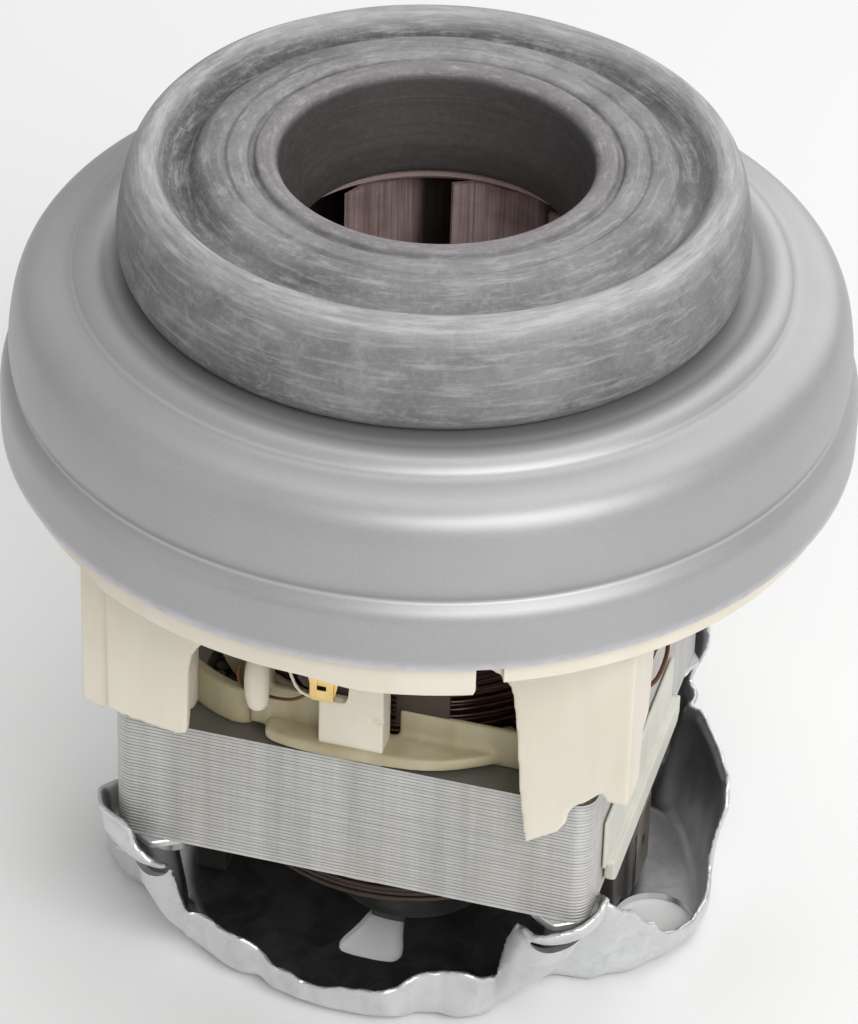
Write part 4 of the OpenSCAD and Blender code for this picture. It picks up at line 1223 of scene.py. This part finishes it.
def bracket():
    # angles, closer together where the height changes quickly
    ths = []
    t = 45.0
    while t < 405.0:
        a, b = lerp_keys(TOP, t), lerp_keys(TOP, t + 1.0)
        dc = min(abs(t - c) for c in (45, 135, 225, 315, 405))
        st = 1.25 if abs(a - b) < 1.0 else 0.22
        if 4.5 < dc < 12.0:
            st = min(st, 0.3)
        ths.append(t)
        t += st
    us = [0.0, 0.05, 0.1, 0.17, 0.25, 0.34, 0.43, 0.52, 0.61, 0.7, 0.78, 0.85, 0.9, 0.94, 0.97, 1.0]
    half = 0.55
    n = len(ths)
    rows = []
    for th in ths:
        q = []
        r0, z0, a0 = bracket_point(th, 0.0)
        for k in range(6):
            q.append((12.8 + (r0 - 2.6 - 12.8) * k / 5, 0.65, a0))
        for k in (1, 2, 3):
            g = math.radians(90 * k / 4)
            q.append((r0 - 2.6 + 2.2 * math.sin(g), 0.65 + 2.0 * (1 - math.cos(g)) * 0.9, a0))
        for u in us[1:]:
            r, z, a = bracket_point(th, u)
            if z > 2.3:
                q.append((r, z, a))
            else:
                q.append((r0 - 0.4 + 0.4 * u, max(z, 1.9 + 0.4 * u), a))
        rows.append([Vector((r * math.cos(a), r * math.sin(a), z)) for r, z, a in q])
    m = len(rows[0])
    nrm = [[None] * m for _ in range(n)]
    for i in range(n):
        for j in range(m):
            du = rows[(i + 1) % n][j] - rows[i - 1][j]
            dv = rows[i][min(j + 1, m - 1)] - rows[i][max(j - 1, 0)]
            q = dv.cross(du)
            if q.length < 1e-9:
                q = Vector((0, 0, 1))
            nrm[i][j] = q.normalized()
    V, F = [], []
    for side in (1, -1):
        for i in range(n):
            for j in range(m):
                V.append(tuple(rows[i][j] + nrm[i][j] * half * side))
    N = n * m
    for i in range(n):
        k = (i + 1) % n
        for j in range(m - 1):
            F.append((i * m + j, k * m + j, k * m + j + 1, i * m + j + 1))
            F.append((N + i * m + j, N + i * m + j + 1, N + k * m + j + 1, N + k * m + j))
    # rounded rim and inner edge
    c = len(V)
    for i in range(n):
        up = (rows[i][m - 1] - rows[i][m - 2]).normalized()
        V.append(tuple(rows[i][m - 1] + up * 0.42))
    for i in range(n):
        k = (i + 1) % n
        F.append((i * m + m - 1, k * m + m - 1, c + k, c + i))
        F.append((c + i, c + k, N + k * m + m - 1, N + i * m + m - 1))
        F.append((i * m, N + i * m, N + k * m, k * m))
    V = [(x, y, max(z, 0.02)) for x, y, z in V]
    ob = mesh_object("rear_bracket_skin", V, F)
    cuts = []
    bell = [(-2.9, -12.6), (-4.0, -17.5), (-5.6, -21.5), (-5.5, -23.6), (-4.2, -24.8), (3.4, -24.9), (4.8, -23.7), (4.9, -21.5), (3.6, -17.5), (2.7, -12.6), (1.6, -11.9), (-1.8, -11.9)]
    bo = [(x - 0.6, y) for x, y in chaikin(bell, 2, closed=True)]
    for a in (0, 180):
        v, f = prism_data(bo, -2, 3)
        cuts.append((xform(v, Matrix.Rotation(math.radians(a), 4, "Z")), f))
    for s in (1, -1):
        cuts.append(prism_data([(s * 40.9 + 6.5 * math.cos(q), -1.6 + 6.5 * math.sin(q)) for q in np.linspace(0, 2 * math.pi, 49)[:-1]], -2, 3))
    # half moon slots under the lips
    for a in (48, 132, 228, 312):
        o = [(4.5 * math.cos(q), 25.0 + 3.7 * math.sin(q)) for q in np.linspace(math.pi, 2 * math.pi, 20)]
        v, f = yz_prism(o, 45, 62)
        cuts.append((xform(v, Matrix.Rotation(math.radians(a), 4, "Z")), f))
    smooth_mesh(ob, 0.42, 0.5, 2)
    for v, f in cuts:
        boolean(ob, mesh_object("cut", v, f), solver="MANIFOLD")
    finish_mesh(ob, BRACKET, 40)
    settle(ob, "frame", ("rear_bracket",))
    # bearing cup and the corner seats under the stack
    cup = [(4.7, 0.25), (4.7, 1.35), (9.6, 1.35), (10.9, 1.55), (11.05, 2.0), (11.05, 8.3), (11.3, 8.75), (12.0, 8.75), (12.35, 8.3), (12.4, 3.0), (12.8, 1.7), (13.6, 1.2), (13.6, 0.15), (5.2, 0.15)]
    lathe("bracket_cup", cup, BRACKET_IN, 96, slot="bracket_sheet", rep=("rear_bracket",), sharp=35)
    seats = []
    for a in (45, 135, 225, 315):
        M = Matrix.Rotation(math.radians(a), 4, "Z")
        o = fillet([(39.9, -4.6), (46, -5.6), (50.6, -4.4), (51.6, 0), (50.6, 4.4), (46, 5.6), (39.9, 4.6)], 1.4, 4)
        s = mesh_object("s", *prism_data(o, 27.3, 28.6, 0.2))
        boolean(s, mesh_object("c", *prism_data(circ(44.55, 0, 2.2, 0, 345, 23), 20, 40)))
        V2 = [tuple(q / MM for q in v.co) for v in s.data.vertices]
        F2 = [tuple(p.vertices) for p in s.data.polygons]
        bpy.data.objects.remove(s)
        seats.append((xform(V2, M), F2))
    add("bracket_seats", *merge(seats), BRACKET, slot="bracket_sheet", rep=("rear_bracket",), sharp=35)


# ------------------------------------------------------------ brush holders
def holders():
    for side, sx in (("right", 1), ("left", -1)):
        S = Matrix.Rotation(math.radians(180), 4, "Z") if sx < 0 else Matrix.Identity(4)
        S = Matrix.Diagonal((sx, 1, 1, 1))
        body = mesh_object("h", *boxv(26.0, 37.6, -6.8, 6.8, 8.4, 23.2, 0.5, 2))
        boolean(body, mesh_object("c", *boxv(20, 50, -3.85, 3.85, 9.75, 22.25)))
        V = [tuple(q / MM for q in v.co) for v in body.data.vertices]
        F = [tuple(p.vertices) for p in body.data.polygons]
        bpy.data.objects.remove(body)
        parts = [(V, F)]
        parts.append(boxv(33.4, 36.3, -12.8, -6.4, 8.4, 24.6, 0.4, 2))
        parts.append(boxv(33.4, 36.3, 6.4, 12.8, 8.4, 24.6, 0.4, 2))
        parts.append(boxv(33.4, 36.3, -12.8, 12.8, 22.4, 26.2, 0.4, 2))
        rails = []
        for y in (-12.2, 7.8):
            parts.append(boxv(28.6, 34.0, y, y + 4.3, 1.7, 10.2, 0.3, 2))
        parts.append(boxv(26.1, 33.9, -12.1, 12.1, 8.5, 10.7, 0.3, 2))
        # thin rail beside the stack, on two arms
        rail = fillet([(-28.0, 30.6), (-26.0, 29.4), (14.6, 29.4), (15.8, 31.0), (15.8, 34.4), (-28.0, 34.4)], 0.6, 4)
        off = 1.65 if sx < 0 else 0.0
        rails.append(yz_prism(rail, 37.8 + off, 39.4 + off))
        rails.append(boxv(37.6 + off, 38.3 + off, -29.5, 14.5, 33.6, 43.0, 0.3, 2))
        for y in (-12.6, 8.6):
            parts.append(boxv(36.0, 38.6, y, y + 4.0, 24.6, 26.3, 0.3, 2))
            parts.append(boxv(37.75, 38.9 + (1.5 if sx < 0 else 0), y, y + 4.0, 24.8, 30.4, 0.3, 2))
        soft("brush_holder_skin_" + side, [(xform(v, S), f) for v, f in parts], HOLDER, 0.34, 2, slot="ivory_plastic",
             rep=("brush_holder_" + side,))
        soft("brush_rail_skin_" + side, [(xform(v, S), f) for v, f in rails], IVORY_RAIL, 0.3, 2, slot="ivory_plastic",
             rep=("brush_holder_" + side,))
        # sleeve of the brush with its end cap folded over
        t = mesh_object("t", *boxv(14.0, 37.4, -3.75, 3.75, 9.85, 22.15, 0.3, 2))
        boolean(t, mesh_object("c", *boxv(8, 50, -3.15, 3.15, 10.45, 21.55)))
        V = [tuple(q / MM for q in v.co) for v in t.data.vertices]
        F = [tuple(p.vertices) for p in t.data.polygons]
        bpy.data.objects.remove(t)
        add("brush_tube_skin_" + side, xform(V, S), F, CAP, slot="brass", rep=("brush_tube_" + side,), sharp=35)
        c = mesh_object("t", *boxv(37.4, 38.0, -4.3, 4.3, 9.3, 22.7, 0.15, 2))
        boolean(c, mesh_object("c", *boxv(30, 50, -1.1, 1.1, 14.9, 17.1)))
        V = [tuple(q / MM for q in v.co) for v in c.data.vertices]
        F = [tuple(p.vertices) for p in c.data.polygons]
        bpy.data.objects.remove(c)
        V2, F2 = merge([(V, F), boxv(35.2, 37.7, -4.35, -3.85, 13, 19, 0.1), boxv(35.2, 37.7, 3.85, 4.35, 13, 19, 0.1)])
        add("brush_cap_skin_" + side, xform(V2, S), F2, CAP, slot="brass", rep=("brush_end_cap_" + side,), sharp=35)


# ------------------------------------------------------------ brush springs
def springs():
    for side, sx in (("right", 1), ("left", -1)):
        x0, x1 = 29.65, 36.45
        turns, per = 6.5, 20
        path = []
        for k in range(int(turns * per) + 1):
            u = k / (turns * per)
            # the end coils lie flat
            x = x0 + (x1 - x0) * min(max((u - 0.07) / 0.86, 0.0), 1.0)
            a = 2 * math.pi * turns * u
            path.append((sx * x, 2.28 * math.cos(a), 16.0 + 2.28 * math.sin(a)))
        v, f = tube_data(path, 0.27, 8)
        ob = add("brush_spring_skin_" + side, v, f, SPRING, slot="spring_steel", rep=("brush_spring_" + side,), sharp=0)
        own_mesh(ob)


# ------------------------------------------------------------ blades in the fan eye
def vanes():
    parts = []
    n = 9
    for i in range(n):
        R = Matrix.Rotation(math.radians(360.0 * i / n), 4, "Z")
        # one blade: a sheet that sweeps back from the eye to the rim
        rows = []
        for k in range(25):
            u = k / 24
            u = u ** 1.25
            r = 24.4 + (58.2 - 24.4) * u
            a = math.radians(138.8 - 27 * ((r - 24.4) / 4.8) ** 0.62)
            top = 119.1 if r < 25.0 else (119.1 - (r - 25.0) * 0.85 if r < 27.2 else 117.2 - (r - 27.2) * (117.2 - 110.55) / (58.5 - 27.2))
            top -= 0.8 * max(0.0, 1 - u * 30)
            rows.append((r, a, top))
        V, F = [], []
        half = 0.42
        m = 9
        for sgn in (1, -1):
            for r, a, top in rows:
                for j in range(m):
                    w = j / (m - 1)
                    z = 98.05 + (top - 98.05) * w
                    lean = 0.0
                    x, y = r * math.cos(a + lean), r * math.sin(a + lean)
                    tx, ty = math.cos(a + lean + 0.45), math.sin(a + lean + 0.45)
                    V.append((x + tx * half * sgn, y + ty * half * sgn, z))
        nr = len(rows)
        N = nr * m
        for k in range(nr - 1):
            for j in range(m - 1):
                q = k * m + j
                F.append((q, q + m, q + m + 1, q + 1))
                F.append((N + q, N + q + 1, N + q + m + 1, N + q + m))
            q = k * m
            F.append((q, N + q, N + q + m, q + m))
            q = k * m + m - 1
            F.append((q, q + m, N + q + m, N + q))
        for j in range(m - 1):
            F.append((j, j + 1, N + j + 1, N + j))
            q = (nr - 1) * m + j
            F.append((q, N + q, N + q + 1, q + 1))
        parts.append((xform(V, R), F))
        # rivet heads along the foot of the blade, on the back plate
        V2, F2 = [], []
        for k in range(3, 23, 2):
            r, a, top = rows[k]
            if k in (7, 13, 19):
                c = math.radians(2.6)
                rv = [(rad, zz) for rad, zz in ((0.05, 99.6), (0.7, 99.45), (1.05, 99.0), (1.1, 98.1), (0.05, 98.1))]
                lv, lf = lathe_data(rv, 12, closed=False)
                ox, oy = r * math.cos(a + c), r * math.sin(a + c)
                parts.append((xform([(x + ox, y + oy, z) for x, y, z in lv], R), lf))
    add("impeller_vane_skin", *merge(parts), BLADE, body="rotor", slot="fan_metal", rep=("impeller_vanes",), sharp=35)
    # front plate with a short rolled neck
    prof = [(24.65, 119.35), (24.6, 119.8), (24.65, 120.1), (24.85, 120.2), (25.2, 120.15), (25.6, 119.7), (26.1, 119.1), (27.2, 118.2), (28.6, 117.8),
            (58.2, 111.5), (58.5, 111.2), (58.5, 110.9), (58.2, 110.75), (28.4, 117.05), (27.0, 117.5), (25.6, 118.6), (25.0, 119.15)]
    lathe("impeller_front_skin", prof, FAN, 240, body="rotor", slot="fan_metal", rep=("impeller_front_plate",), sharp=35)


seal()
cover()
housing()
laminations()
coils()
insulators()
terminals()
bracket()
holders()
springs()
vanes()
